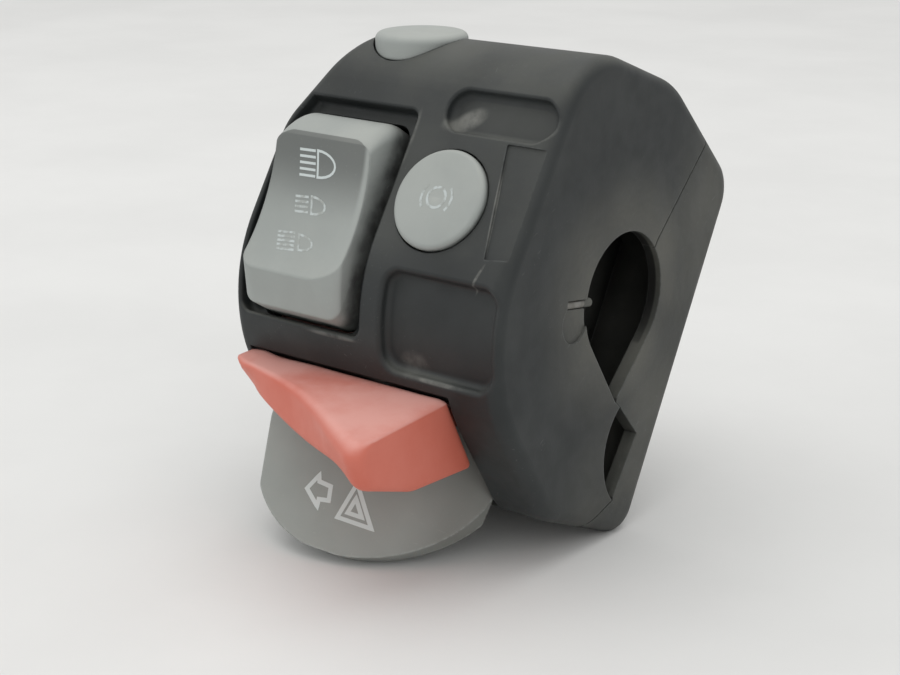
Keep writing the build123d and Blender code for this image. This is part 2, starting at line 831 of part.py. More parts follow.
# Rear cover: the half that clamps the bar from behind, with a shallow seam along the parting line
with BuildPart() as seam:
    add(rear_half)
    add(rear_half.moved(Location(OUTWARD * -seam_width)), mode=Mode.SUBTRACT)
    add(housing_block(seam_depth, seam_depth, body_length - seam_depth), mode=Mode.SUBTRACT)
with BuildPart() as rear_cover:
    add(outer_form)
    add(cavity, mode=Mode.SUBTRACT)
    add(rear_ribs.part)
    add(bosses.part)
    add(rear_half, mode=Mode.INTERSECT)
    add(seam.part, mode=Mode.SUBTRACT)
    add(bore, mode=Mode.SUBTRACT)
    add(eye, mode=Mode.SUBTRACT)
    for boss_u, boss_v, front, floor in screw_places():
        rod(face_plane(-reach), -boss_u, boss_v, screw_radius + screw_hole_gap, reach, mode=Mode.SUBTRACT)
        rod(face_plane(-reach), -boss_u, boss_v, screw_head_radius + head_pocket_gap, reach - floor,
            mode=Mode.SUBTRACT)
rear_cover.part.label = "rear_cover"
export_step(rear_cover.part, "parts/rear_cover.step")

# Cover screws and the brass inserts that they turn into
with BuildPart() as cover_screws:
    for boss_u, boss_v, front, floor in screw_places():
        head_plane = face_plane(-floor - screw_head_height)
        insert_back = front - boss_web - insert_length
        rod(head_plane, -boss_u, boss_v, screw_head_radius, screw_head_height)
        rod(face_plane(-floor), -boss_u, boss_v, screw_radius, floor + insert_back + screw_engagement)
        with BuildSketch(head_plane) as drive:
            with Locations((-boss_u, boss_v)):
                RegularPolygon(drive_radius, 6)
        extrude(drive.sketch, amount=drive_depth, mode=Mode.SUBTRACT)
cover_screws.part.label = "cover_screws"
export_step(cover_screws.part, "parts/cover_screws.step")

with BuildPart() as screw_inserts:
    for boss_u, boss_v, front, floor in screw_places():
        insert_plane = face_plane(front - boss_web - insert_length)
        rod(insert_plane, -boss_u, boss_v, insert_radius, insert_length)
        rod(insert_plane, -boss_u, boss_v, screw_radius + fit_gap, insert_length, mode=Mode.SUBTRACT)
screw_inserts.part.label = "screw_inserts"
export_step(screw_inserts.part, "parts/screw_inserts.step")

# Locating peg that finds the hole in the bar
with BuildPart() as locating_peg:
    rod(peg_plane, 0, 0, peg_radius, peg_length)
locating_peg.part.label = "locating_peg"
export_step(locating_peg.part, "parts/locating_peg.step")

# Switch carrier: the moulded plate that holds the rocker's ears and the contact board
with BuildPart() as switch_carrier:
    carrier_thickness = carrier_front - carrier_back
    slab(face_plane(carrier_back), (-carrier_grip, -carrier_inboard), (-carrier_drop, carrier_top),
         carrier_thickness, corner=carrier_corner)
    for spacer_u, spacer_v in spacer_us_vs:
        rod(face_plane(board_front), -spacer_u, spacer_v, spacer_radius, carrier_back - board_front)
    for ear_u in ear_us:
        rod(end_plane(ear_u), rocker_pin_h, rocker_pin_v, ear_radius, ear_thickness)
        slab(end_plane(ear_u), (carrier_front, rocker_pin_h),
             (rocker_pin_v - ear_radius, rocker_pin_v + ear_radius), ear_thickness)
        rod(end_plane(ear_u), rocker_pin_h, rocker_pin_v, rocker_pin_radius + fit_gap, ear_thickness,
            mode=Mode.SUBTRACT)
    rod(face_plane(carrier_back), -button_u, button_v, button_stem_radius + pin_gap, carrier_thickness,
        mode=Mode.SUBTRACT)
    for post_u, post_v in post_us_vs:
        rod(face_plane(carrier_back), -post_u, post_v, carrier_screw_radius + fit_gap, carrier_thickness,
            mode=Mode.SUBTRACT)
    for spacer_u, spacer_v in spacer_us_vs:
        rod(face_plane(board_front), -spacer_u, spacer_v, board_screw_radius + fit_gap,
            carrier_back - board_front, mode=Mode.SUBTRACT)
    rod(face_plane(carrier_front), -rocker_middle, -stake_drop, stake_radius, stake_height)
switch_carrier.part.label = "switch_carrier"
export_step(switch_carrier.part, "parts/switch_carrier.step")

with BuildPart() as carrier_screws:
    for post_u, post_v in post_us_vs:
        rod(face_plane(carrier_back), -post_u, post_v, carrier_screw_radius, carrier_screw_length)
        rod(face_plane(carrier_back - carrier_screw_head_height), -post_u, post_v, carrier_screw_head,
            carrier_screw_head_height)
carrier_screws.part.label = "carrier_screws"
export_step(carrier_screws.part, "parts/carrier_screws.step")

# Contact board with its fixed contacts, screws and terminal block
with BuildPart() as contact_board:
    slab(face_plane(board_back), (-board_grip, -board_inboard), (-board_drop, board_top),
         board_front - board_back, corner=carrier_corner)
    for spacer_u, spacer_v in spacer_us_vs:
        rod(face_plane(board_back), -spacer_u, spacer_v, board_screw_radius + fit_gap,
            board_front - board_back, mode=Mode.SUBTRACT)
contact_board.part.label = "contact_board"
export_step(contact_board.part, "parts/contact_board.step")

with BuildPart() as board_screws:
    for spacer_u, spacer_v in spacer_us_vs:
        rod(face_plane(board_back), -spacer_u, spacer_v, board_screw_radius, board_screw_length)
        rod(face_plane(board_back - board_screw_head_height), -spacer_u, spacer_v, board_screw_head,
            board_screw_head_height)
board_screws.part.label = "board_screws"
export_step(board_screws.part, "parts/board_screws.step")

with BuildPart() as fixed_contacts:
    for side in (-1, 1):
        rod(face_plane(board_front), -button_u + side * pad_spread, button_v, pad_radius, pad_height)
fixed_contacts.part.label = "fixed_contacts"
export_step(fixed_contacts.part, "parts/fixed_contacts.step")

with BuildPart() as terminal_block:
    slab(face_plane(terminal_back), (-terminal_grip, -terminal_inboard), (terminal_low, terminal_high),
         board_back - terminal_back)
    for k in range(terminal_count):
        hole_u = (terminal_inboard + terminal_grip) / 2 + (k - (terminal_count - 1) / 2) * terminal_pitch
        rod(face_plane(terminal_back), -hole_u, (terminal_low + terminal_high) / 2, terminal_hole_radius,
            terminal_hole_depth, mode=Mode.SUBTRACT)
terminal_block.part.label = "terminal_block"
export_step(terminal_block.part, "parts/terminal_block.step")

# Dip rocker: a hollow saddle between two crests, rocking on a pin in the carrier's ears
with BuildPart() as dip_rocker:
    for lift, side_in, low_in, top_in, radii in rocker_rows:
        side_x = -rocker_inboard - side_in
        low_v = -rocker_drop + low_in
        top_v = rocker_top - top_in
        with BuildSketch(face_plane(rocker_floor_height + lift)) as outline:
            with BuildLine():
                FilletPolyline(
                    (-rocker_grip, low_v), (side_x, low_v), (side_x, top_v), (-rocker_grip, top_v),
                    radius=radii, close=True,
                )
            make_face()
        if not lift:
            foot = outline.sketch
    loft()
    extrude(foot, amount=rocker_skirt_height - rocker_floor_height)
    with BuildSketch(end_plane(rocker_inboard - overrun)) as scoop:
        with BuildLine():
            crest = (rocker_crest_height, rocker_top_crest)
            low_crest = (rocker_low_crest_height, -rocker_low_crest_drop)
            ThreePointArc(crest, (rocker_waist_height, -rocker_waist_drop), low_crest)
            Polyline(low_crest, (rocker_low_crest_height, -reach), (reach, -reach), (reach, reach),
                     (rocker_crest_height, reach), crest)
        make_face()
    extrude(scoop.sketch, amount=rocker_grip - rocker_inboard + overrun + overrun, mode=Mode.SUBTRACT)
    slab(face_plane(rocker_skirt_height), (-rocker_grip + rocker_shell, -rocker_inboard - rocker_shell),
         (-rocker_cavity_drop, rocker_cavity_top), rocker_waist_height - rocker_shell - rocker_skirt_height,
         corner=rocker_corner, mode=Mode.SUBTRACT)
    for lobe_u in (rocker_inboard, rocker_grip - rocker_shell):
        rod(end_plane(lobe_u), rocker_pin_h, rocker_pin_v, lobe_radius, rocker_shell)
    rod(end_plane(hub_inboard), rocker_pin_h, rocker_pin_v, lobe_radius, hub_grip - hub_inboard)
    slab(end_plane(hub_inboard), (rocker_pin_h, rocker_waist_height - rocker_shell),
         (rocker_pin_v - rocker_shell, rocker_pin_v + rocker_shell), hub_grip - hub_inboard)
    rod(end_plane(rocker_middle - nose_length), rocker_pin_h - lobe_radius, rocker_pin_v, nose_radius,
        2 * nose_length)
    for leg_v in (dip_switch_high_v, dip_switch_low_v):
        rod(face_plane(leg_end), -rocker_middle, leg_v, leg_radius,
            rocker_waist_height - rocker_shell - leg_end)
    rod(end_plane(rocker_inboard), rocker_pin_h, rocker_pin_v, rocker_pin_radius + pin_gap,
        rocker_grip - rocker_inboard, mode=Mode.SUBTRACT)
dip_rocker.part.label = "dip_rocker"
export_step(dip_rocker.part, "parts/dip_rocker.step")

with BuildPart() as rocker_pin:
    rod(end_plane(rocker_inboard + move_gap), rocker_pin_h, rocker_pin_v, rocker_pin_radius,
        rocker_grip - rocker_inboard - 2 * move_gap)
rocker_pin.part.label = "rocker_pin"
export_step(rocker_pin.part, "parts/rocker_pin.step")

# Detent leaf: a strip on the carrier whose shallow valley holds the rocker's nose
leaf_low = carrier_front
with BuildPart() as detent_leaf:
    with BuildSketch(end_plane(rocker_middle - leaf_width / 2)) as strip:
        with BuildLine():
            Polyline(
                (leaf_low, -leaf_low_drop), (leaf_low + leaf_thickness, -leaf_low_drop),
                (leaf_low + leaf_thickness, rocker_pin_v - leaf_valley - leaf_valley / 2),
                (leaf_low + leaf_thickness + leaf_hump, rocker_pin_v - leaf_valley),
                (leaf_low + leaf_thickness, rocker_pin_v), (leaf_low + leaf_thickness + leaf_hump,
                                                            rocker_pin_v + leaf_valley),
                (leaf_low + leaf_thickness, rocker_pin_v + leaf_valley + leaf_valley / 2),
                (leaf_low + leaf_thickness, leaf_high), (leaf_low, leaf_high), close=True,
            )
        make_face()
    extrude(strip.sketch, amount=leaf_width)
    rod(face_plane(leaf_low), -rocker_middle, -stake_drop, stake_radius + fit_gap, leaf_thickness,
        mode=Mode.SUBTRACT)
detent_leaf.part.label = "detent_leaf"
export_step(detent_leaf.part, "parts/detent_leaf.step")

# Dip switches under the rocker's two legs
for switch_name, leg_v in (("main_beam_switch", dip_switch_high_v), ("flash_switch", dip_switch_low_v)):
    with BuildPart() as dip_switch:
        slab(face_plane(carrier_front),
             (-rocker_middle - dip_switch_length / 2, -rocker_middle + dip_switch_length / 2),
             (leg_v - dip_switch_width / 2, leg_v + dip_switch_width / 2), dip_switch_height)
        rod(face_plane(carrier_front + dip_switch_height), -rocker_middle, leg_v, dip_plunger_radius,
            dip_plunger_height)
    dip_switch.part.label = switch_name
    export_step(dip_switch.part, f"parts/{switch_name}.step")

# Round button: cap, flange and stem in one, with a contact bridge at the stem's end
with BuildPart() as round_button:
    flange_top = face_height - wall - move_gap
    flange_bottom = flange_top - flange_thickness
    domed_rod(face_plane(flange_bottom), -button_u, button_v, button_radius, button_top - flange_bottom,
              button_dome, button_edge_radius)
    rod(face_plane(flange_bottom), -button_u, button_v, flange_radius, flange_thickness)
    rod(face_plane(button_stem_end), -button_u, button_v, button_stem_radius, flange_bottom - button_stem_end)
round_button.part.label = "round_button"
export_step(round_button.part, "parts/round_button.step")

with BuildPart() as contact_bridge:
    slab(face_plane(button_stem_end - bridge_thickness),
         (-button_u - bridge_length / 2, -button_u + bridge_length / 2),
         (button_v - bridge_width / 2, button_v + bridge_width / 2), bridge_thickness)
contact_bridge.part.label = "contact_bridge"
export_step(contact_bridge.part, "parts/contact_bridge.step")

button_spring_length = flange_bottom - carrier_front - 2 * fit_gap
button_spring_plane = Plane(
    origin=face_plane(carrier_front + fit_gap + spring_wire / 2).from_local_coords((-button_u, button_v)),
    x_dir=(1, 0, 0), z_dir=OUTWARD,
)
round_button_spring = coil(
    button_spring_plane, button_spring_radius, button_spring_length, button_spring_turns, spring_wire,
    spring_wire,
)
round_button_spring.label = "round_button_spring"
export_step(round_button_spring, "parts/round_button_spring.step")

# Top button: domed cap on a stem that runs through the well's shelf
with BuildPart() as top_button:
    domed_rod(level_plane(cap_underside), cap_x, cap_y, cap_radius, cap_top - cap_underside, cap_dome,
              cap_edge_radius)
    rod(level_plane(cap_stem_end), cap_x, cap_y, cap_stem_radius, cap_underside - cap_stem_end)
    groove_bottom = well_shelf_bottom - move_gap - clip_thickness
    rod(level_plane(groove_bottom), cap_x, cap_y, cap_stem_radius + clip_groove, clip_thickness,
        mode=Mode.SUBTRACT)
    rod(level_plane(groove_bottom), cap_x, cap_y, cap_stem_radius - clip_groove, clip_thickness)
top_button.part.label = "top_button"
export_step(top_button.part, "parts/top_button.step")

with BuildPart() as stem_clip:
    rod(level_plane(groove_bottom), cap_x, cap_y, clip_radius, clip_thickness)
    clip_bore = cap_stem_radius - clip_groove + fit_gap
    rod(level_plane(groove_bottom), cap_x, cap_y, clip_bore, clip_thickness, mode=Mode.SUBTRACT)
    slot_half = clip_radius * clip_width_share
    slab(level_plane(groove_bottom), (cap_x, cap_x + clip_radius + overrun),
         (cap_y - slot_half, cap_y + slot_half), clip_thickness, mode=Mode.SUBTRACT)
stem_clip.part.label = "stem_clip"
export_step(stem_clip.part, "parts/stem_clip.step")

cap_spring_length = cap_underside - well_shelf_top - 2 * fit_gap
cap_spring_plane = Plane(
    origin=(cap_x, cap_y, well_shelf_top + fit_gap + spring_wire / 2), x_dir=(1, 0, 0), z_dir=(0, 0, 1),
)
top_button_spring = coil(
    cap_spring_plane, cap_spring_radius, cap_spring_length, cap_spring_turns, spring_wire, spring_wire,
)
top_button_spring.label = "top_button_spring"
export_step(top_button_spring, "parts/top_button_spring.step")


def in_housing(y, z):
    """Place in h and v of a point given by its world Y and Z."""
    return (z * sin(tilt) - y * cos(tilt), y * sin(tilt) + z * cos(tilt))


# Top button's switch: a wedge on the board with its face square to the stem
with BuildPart() as top_button_switch:
    wedge = (
        (board_front, wedge_foot_low), in_housing(cap_y - wedge_face_front, wedge_face_top - wedge_face_back),
        in_housing(cap_y - wedge_face_front, wedge_face_top),
        in_housing(cap_y + wedge_face_front, wedge_face_top), (board_front, wedge_foot_high),
    )
    prism(end_plane(wedge_inboard), wedge, wedge_grip - wedge_inboard)
    rod(level_plane(wedge_face_top), cap_x, cap_y, wedge_nib_radius, wedge_nib_height)
top_button_switch.part.label = "top_button_switch"
export_step(top_button_switch.part, "parts/top_button_switch.step")

# Horn lever: hooked paddle, hub and switch arm
horn_hub_start = mouth_inboard + lever_end_gap
horn_hub_end = grip_wall_u - lever_end_gap
with BuildPart() as horn_lever:
    rows = list(zip(horn_u_shares, horn_ridge_shares, horn_low_shares, horn_belly_shares, horn_back_shares))
    sections = [(u_share, draw_in, rows[0][1:]) for u_share, draw_in in horn_end_rows]
    sections += [(u_share, 0, corner_shares) for u_share, *corner_shares in rows[1:]]
    for u_share, draw_in, corner_shares in sections:
        size = corner_shares[0][0]
        corners = [(horn_root_h, horn_root_v + horn_top_lift)] + [
            (horn_root_h + a_share * horn_reach, horn_root_v - b_share * horn_drop)
            for a_share, b_share in corner_shares
        ]
        corners = [(h + draw_in * (horn_middle_h - h), v + draw_in * (horn_middle_v - v)) for h, v in corners]
        with BuildSketch(end_plane(horn_inboard + u_share * horn_length)):
            with BuildLine():
                FilletPolyline(*corners, radius=[size * radius for radius in horn_corner_radii], close=True)
            make_face()
    loft()
    neck = (
        (horn_neck_back, horn_pin_v), (horn_neck_front, horn_pin_v), (horn_neck_waist_h, horn_neck_waist_v),
        (horn_neck_throat_h, horn_neck_throat_v), (horn_root_h, horn_root_v),
        (horn_root_h + horn_neck_inset, horn_root_v - horn_neck_drop),
        (horn_root_h - horn_neck_foot, horn_root_v - horn_neck_drop - horn_neck_inset),
        (horn_neck_waist_h - horn_neck_thickness, horn_neck_waist_v),
    )
    for start_u, end_u in ((horn_hub_start, lever_spring_inboard), (lever_spring_grip, horn_hub_end)):
        rod(end_plane(start_u), horn_pin_h, horn_pin_v, lever_hub_radius, end_u - start_u)
        prism(end_plane(start_u), neck, end_u - start_u)
    arm_start = horn_switch_u - arm_width / 2
    arm = (
        (horn_arm_h, horn_arm_v - arm_radius), (horn_arm_h, horn_arm_v + arm_radius),
        (horn_pin_h, horn_pin_v + arm_radius), (horn_pin_h, horn_pin_v - arm_radius),
    )
    prism(end_plane(arm_start), arm, arm_width)
    rod(end_plane(arm_start), horn_arm_h, horn_arm_v, arm_radius, arm_width)
    rod(end_plane(horn_hub_start), horn_pin_h, horn_pin_v, lever_pin_radius + pin_gap,
        horn_hub_end - horn_hub_start, mode=Mode.SUBTRACT)
horn_lever.part.label = "horn_lever"
export_step(horn_lever.part, "parts/horn_lever.step")

# Turn lever: dished plate, neck, hub and switch arm
with BuildPart() as turn_lever:
    dish_ends = ((-turn_grip_u, turn_grip_h), (-turn_inboard_u, turn_inboard_h))
    middle = (-turn_middle_u, turn_middle_h)
    with BuildSketch(Plane(origin=UPWARD * -turn_rim_drop, x_dir=(1, 0, 0), z_dir=UPWARD)) as dish:
        with BuildLine() as dish_line:
            ThreePointArc(*[(x, -h) for x, h in (dish_ends[0], middle, dish_ends[1])])
            offset(amount=turn_thickness, side=Side.LEFT)
        make_face()
    extrude(dish.sketch, amount=turn_rim_drop - turn_top)
    with BuildSketch(face_plane(-reach)) as rim:
        side_foot = (-turn_grip_u + turn_side_run, -turn_side_drop)
        shoulder = (-turn_grip_u + turn_shoulder_run, -turn_shoulder_drop)
        with BuildLine():
            Polyline((-turn_inboard_u, -turn_end_drop), (-turn_inboard_u, -turn_top),
                     (-turn_grip_u, -turn_top), shoulder, side_foot)
            ThreePointArc(side_foot, (-turn_rim_u, -turn_rim_drop), (-turn_inboard_u, -turn_end_drop))
        make_face()
        fillet(rim.vertices().sort_by(Axis.X)[1:3], radius=turn_corner)
    extrude(rim.sketch, amount=reach + reach, mode=Mode.INTERSECT)
    neck = (
        (turn_neck_back, turn_pin_v), (turn_neck_front, turn_pin_v), (turn_middle_h, -turn_neck_low),
        (turn_middle_h - turn_thickness, -turn_neck_low),
    )
    prism(end_plane(turn_neck_inboard), neck, turn_neck_grip - turn_neck_inboard)
    for start_u, end_u in ((horn_hub_start, lever_spring_inboard), (lever_spring_grip, horn_hub_end)):
        rod(end_plane(start_u), turn_pin_h, turn_pin_v, lever_hub_radius, end_u - start_u)
    slab(end_plane(lever_spring_inboard), (-reach, reach), (turn_pin_v - lever_hub_radius - move_gap, 0),
         lever_spring_grip - lever_spring_inboard, mode=Mode.SUBTRACT)
    arm_start = turn_switch_u - arm_width / 2
    slab(end_plane(arm_start), (turn_arm_h - arm_radius, turn_arm_h + arm_radius), (turn_pin_v, turn_arm_v),
         arm_width)
    rod(end_plane(arm_start), turn_arm_h, turn_arm_v, arm_radius, arm_width)
    rod(end_plane(horn_hub_start), turn_pin_h, turn_pin_v, lever_pin_radius + pin_gap,
        horn_hub_end - horn_hub_start, mode=Mode.SUBTRACT)
turn_lever.part.label = "turn_lever"
export_step(turn_lever.part, "parts/turn_lever.step")

# Lever pins, seated in the divider and the grip wall, and their return springs
for pin_name, pin_h, pin_v in (
    ("horn_pin", horn_pin_h, horn_pin_v), ("turn_pin", turn_pin_h, turn_pin_v),
):
    with BuildPart() as lever_pin:
        rod(end_plane(pin_start + fit_gap), pin_h, pin_v, lever_pin_radius, pin_length - 2 * fit_gap)
    lever_pin.part.label = pin_name
    export_step(lever_pin.part, f"parts/{pin_name}.step")

for spring_name, pin_h, pin_v in (
    ("horn_spring", horn_pin_h, horn_pin_v), ("turn_spring", turn_pin_h, turn_pin_v),
):
    spring_u = lever_spring_inboard + move_gap
    spring_plane = Plane(
        origin=end_plane(spring_u + lever_spring_wire / 2).from_local_coords((pin_h, pin_v)),
        x_dir=OUTWARD, z_dir=(-1, 0, 0),
    )
    torsion_spring = coil(
        spring_plane, lever_spring_radius, lever_spring_grip - spring_u - move_gap, lever_spring_turns,
        lever_spring_wire, lever_spring_leg,
    )
    torsion_spring.label = spring_name
    export_step(torsion_spring, f"parts/{spring_name}.step")

# Switches behind the board, one for each lever
with BuildPart() as horn_switch:
    horn_switch_span = (-horn_switch_u - lever_switch_length / 2, -horn_switch_u + lever_switch_length / 2)
    slab(face_plane(horn_switch_back), horn_switch_span, (horn_switch_v, horn_switch_v + lever_switch_height),
         board_back - horn_switch_back)
    plunger_plane = Plane(origin=UPWARD * (horn_switch_v - plunger_height), x_dir=(1, 0, 0), z_dir=UPWARD)
    rod(plunger_plane, -horn_switch_u, -(horn_arm_h + arm_radius), plunger_radius, plunger_height)
horn_switch.part.label = "horn_switch"
export_step(horn_switch.part, "parts/horn_switch.step")

with BuildPart() as turn_switch:
    turn_switch_span = (-turn_switch_u - lever_switch_length / 2, -turn_switch_u + lever_switch_length / 2)
    slab(face_plane(turn_switch_back), turn_switch_span, (turn_switch_v, turn_switch_v + lever_switch_height),
         board_back - turn_switch_back)
    rod(face_plane(turn_switch_back - plunger_height), -turn_switch_u, turn_arm_v, plunger_radius,
        plunger_height)
turn_switch.part.label = "turn_switch"
export_step(turn_switch.part, "parts/turn_switch.step")
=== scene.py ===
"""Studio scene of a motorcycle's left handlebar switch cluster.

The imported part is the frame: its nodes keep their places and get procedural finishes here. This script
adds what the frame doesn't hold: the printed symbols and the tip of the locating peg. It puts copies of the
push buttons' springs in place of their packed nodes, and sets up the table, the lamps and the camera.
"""

from __future__ import annotations

import json
import logging
import math
from dataclasses import dataclass, field
from enum import Enum
from typing import Any, Iterable, Sequence

import bmesh
import bpy
from mathutils import Matrix, Vector
from mathutils.bvhtree import BVHTree

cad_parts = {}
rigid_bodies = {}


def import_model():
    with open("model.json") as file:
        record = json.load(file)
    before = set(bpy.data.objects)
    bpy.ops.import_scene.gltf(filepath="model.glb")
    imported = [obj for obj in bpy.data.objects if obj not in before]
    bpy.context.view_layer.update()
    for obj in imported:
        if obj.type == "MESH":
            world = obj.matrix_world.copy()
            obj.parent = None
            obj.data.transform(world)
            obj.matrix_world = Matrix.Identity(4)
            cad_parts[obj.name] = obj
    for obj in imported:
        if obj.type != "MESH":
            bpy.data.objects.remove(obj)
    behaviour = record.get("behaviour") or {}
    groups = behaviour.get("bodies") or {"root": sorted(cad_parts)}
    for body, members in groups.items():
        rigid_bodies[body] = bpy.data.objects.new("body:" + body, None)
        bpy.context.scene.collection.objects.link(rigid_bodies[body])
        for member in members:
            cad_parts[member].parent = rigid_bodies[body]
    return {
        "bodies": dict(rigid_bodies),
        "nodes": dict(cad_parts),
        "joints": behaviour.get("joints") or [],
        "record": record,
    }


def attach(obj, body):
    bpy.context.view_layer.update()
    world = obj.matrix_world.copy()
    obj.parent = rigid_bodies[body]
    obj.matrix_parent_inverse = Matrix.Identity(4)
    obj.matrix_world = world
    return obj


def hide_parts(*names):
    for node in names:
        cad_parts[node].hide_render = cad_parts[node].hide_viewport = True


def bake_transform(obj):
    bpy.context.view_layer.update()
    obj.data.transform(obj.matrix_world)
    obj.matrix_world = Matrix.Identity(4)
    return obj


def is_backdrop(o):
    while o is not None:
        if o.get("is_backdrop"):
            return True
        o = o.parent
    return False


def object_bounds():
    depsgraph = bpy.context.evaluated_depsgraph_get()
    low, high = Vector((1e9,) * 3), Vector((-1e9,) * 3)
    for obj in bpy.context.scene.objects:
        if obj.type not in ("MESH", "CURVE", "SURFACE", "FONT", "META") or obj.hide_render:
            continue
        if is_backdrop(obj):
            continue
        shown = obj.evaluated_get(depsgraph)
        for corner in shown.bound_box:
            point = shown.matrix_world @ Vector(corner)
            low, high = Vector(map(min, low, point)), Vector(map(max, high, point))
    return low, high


LOG = logging.getLogger("switch_cluster")
MM = 0.001
RAKE = math.radians(32.3)
OUTWARD = Vector((0.0, -math.cos(RAKE), math.sin(RAKE)))
UPWARD = Vector((0.0, math.sin(RAKE), math.cos(RAKE)))
INBOARD = Vector((1.0, 0.0, 0.0))
RISING = Vector((0.0, 0.0, 1.0))
BORE_RADIUS = 11.2 * MM
SHADER_SAMPLES = 6
GRAIN_DEPTH = 0.1 * MM
METAL_GRAIN_DEPTH = 0.05 * MM

Colour = tuple[float, float, float, float]
Point = tuple[float, float]
Place = tuple[float, float, float]

# A span holds the inputs at which a ramp starts and ends, and a Ramp also its first and last output
Span = tuple[float, float]
Ramp = tuple[float, float, float, float]

# The part of a noise's range that makes soft patches
MOTTLE: Span = (0.3, 0.7)


def srgb(red: float, green: float, blue: float) -> Colour:
    """Turns a colour of 0 to 255 into the linear one that a shader takes.

    Args:
        red: Red part, 0 to 255.
        green: Green part, 0 to 255.
        blue: Blue part, 0 to 255.

    Returns:
        The linear colour, with full alpha.
    """

    def linear(part: float) -> float:
        """Makes one part of the colour linear.

        Args:
            part: The part, 0 to 255.

        Returns:
            The linear part, 0 to 1.
        """
        share = part / 255.0
        return share / 12.92 if share <= 0.04045 else ((share + 0.055) / 1.055) ** 2.4

    return linear(red), linear(green), linear(blue), 1.0


def darker(colour: Colour, share: float) -> Colour:
    """Darkens a colour.

    Args:
        colour: The linear colour.
        share: What is left of its brightness.

    Returns:
        The darker colour, with full alpha.
    """
    red, green, blue, _ = colour
    return red * share, green * share, blue * share, 1.0


def face_point(along: float, out: float, up: float) -> Vector:
    """Finds a point from its place in the housing.

    Args:
        along: Place along the bar, positive to the inboard side, in metres.
        out: Distance out from the bar's axis towards the rider, in metres.
        up: Distance up the switch face, in metres.

    Returns:
        The point in the row frame.
    """
    return INBOARD * along + OUTWARD * out + UPWARD * up


def link_mesh(name: str, mesh: bmesh.types.BMesh) -> bpy.types.Object:
    """Turns a finished mesh into an object of the scene.

    Args:
        name: Name of the object and its mesh.
        mesh: The finished mesh, which is freed.

    Returns:
        The object.
    """
    data = bpy.data.meshes.new(name)
    mesh.to_mesh(data)
    mesh.free()
    piece = bpy.data.objects.new(name, data)
    bpy.context.scene.collection.objects.link(piece)
    return piece


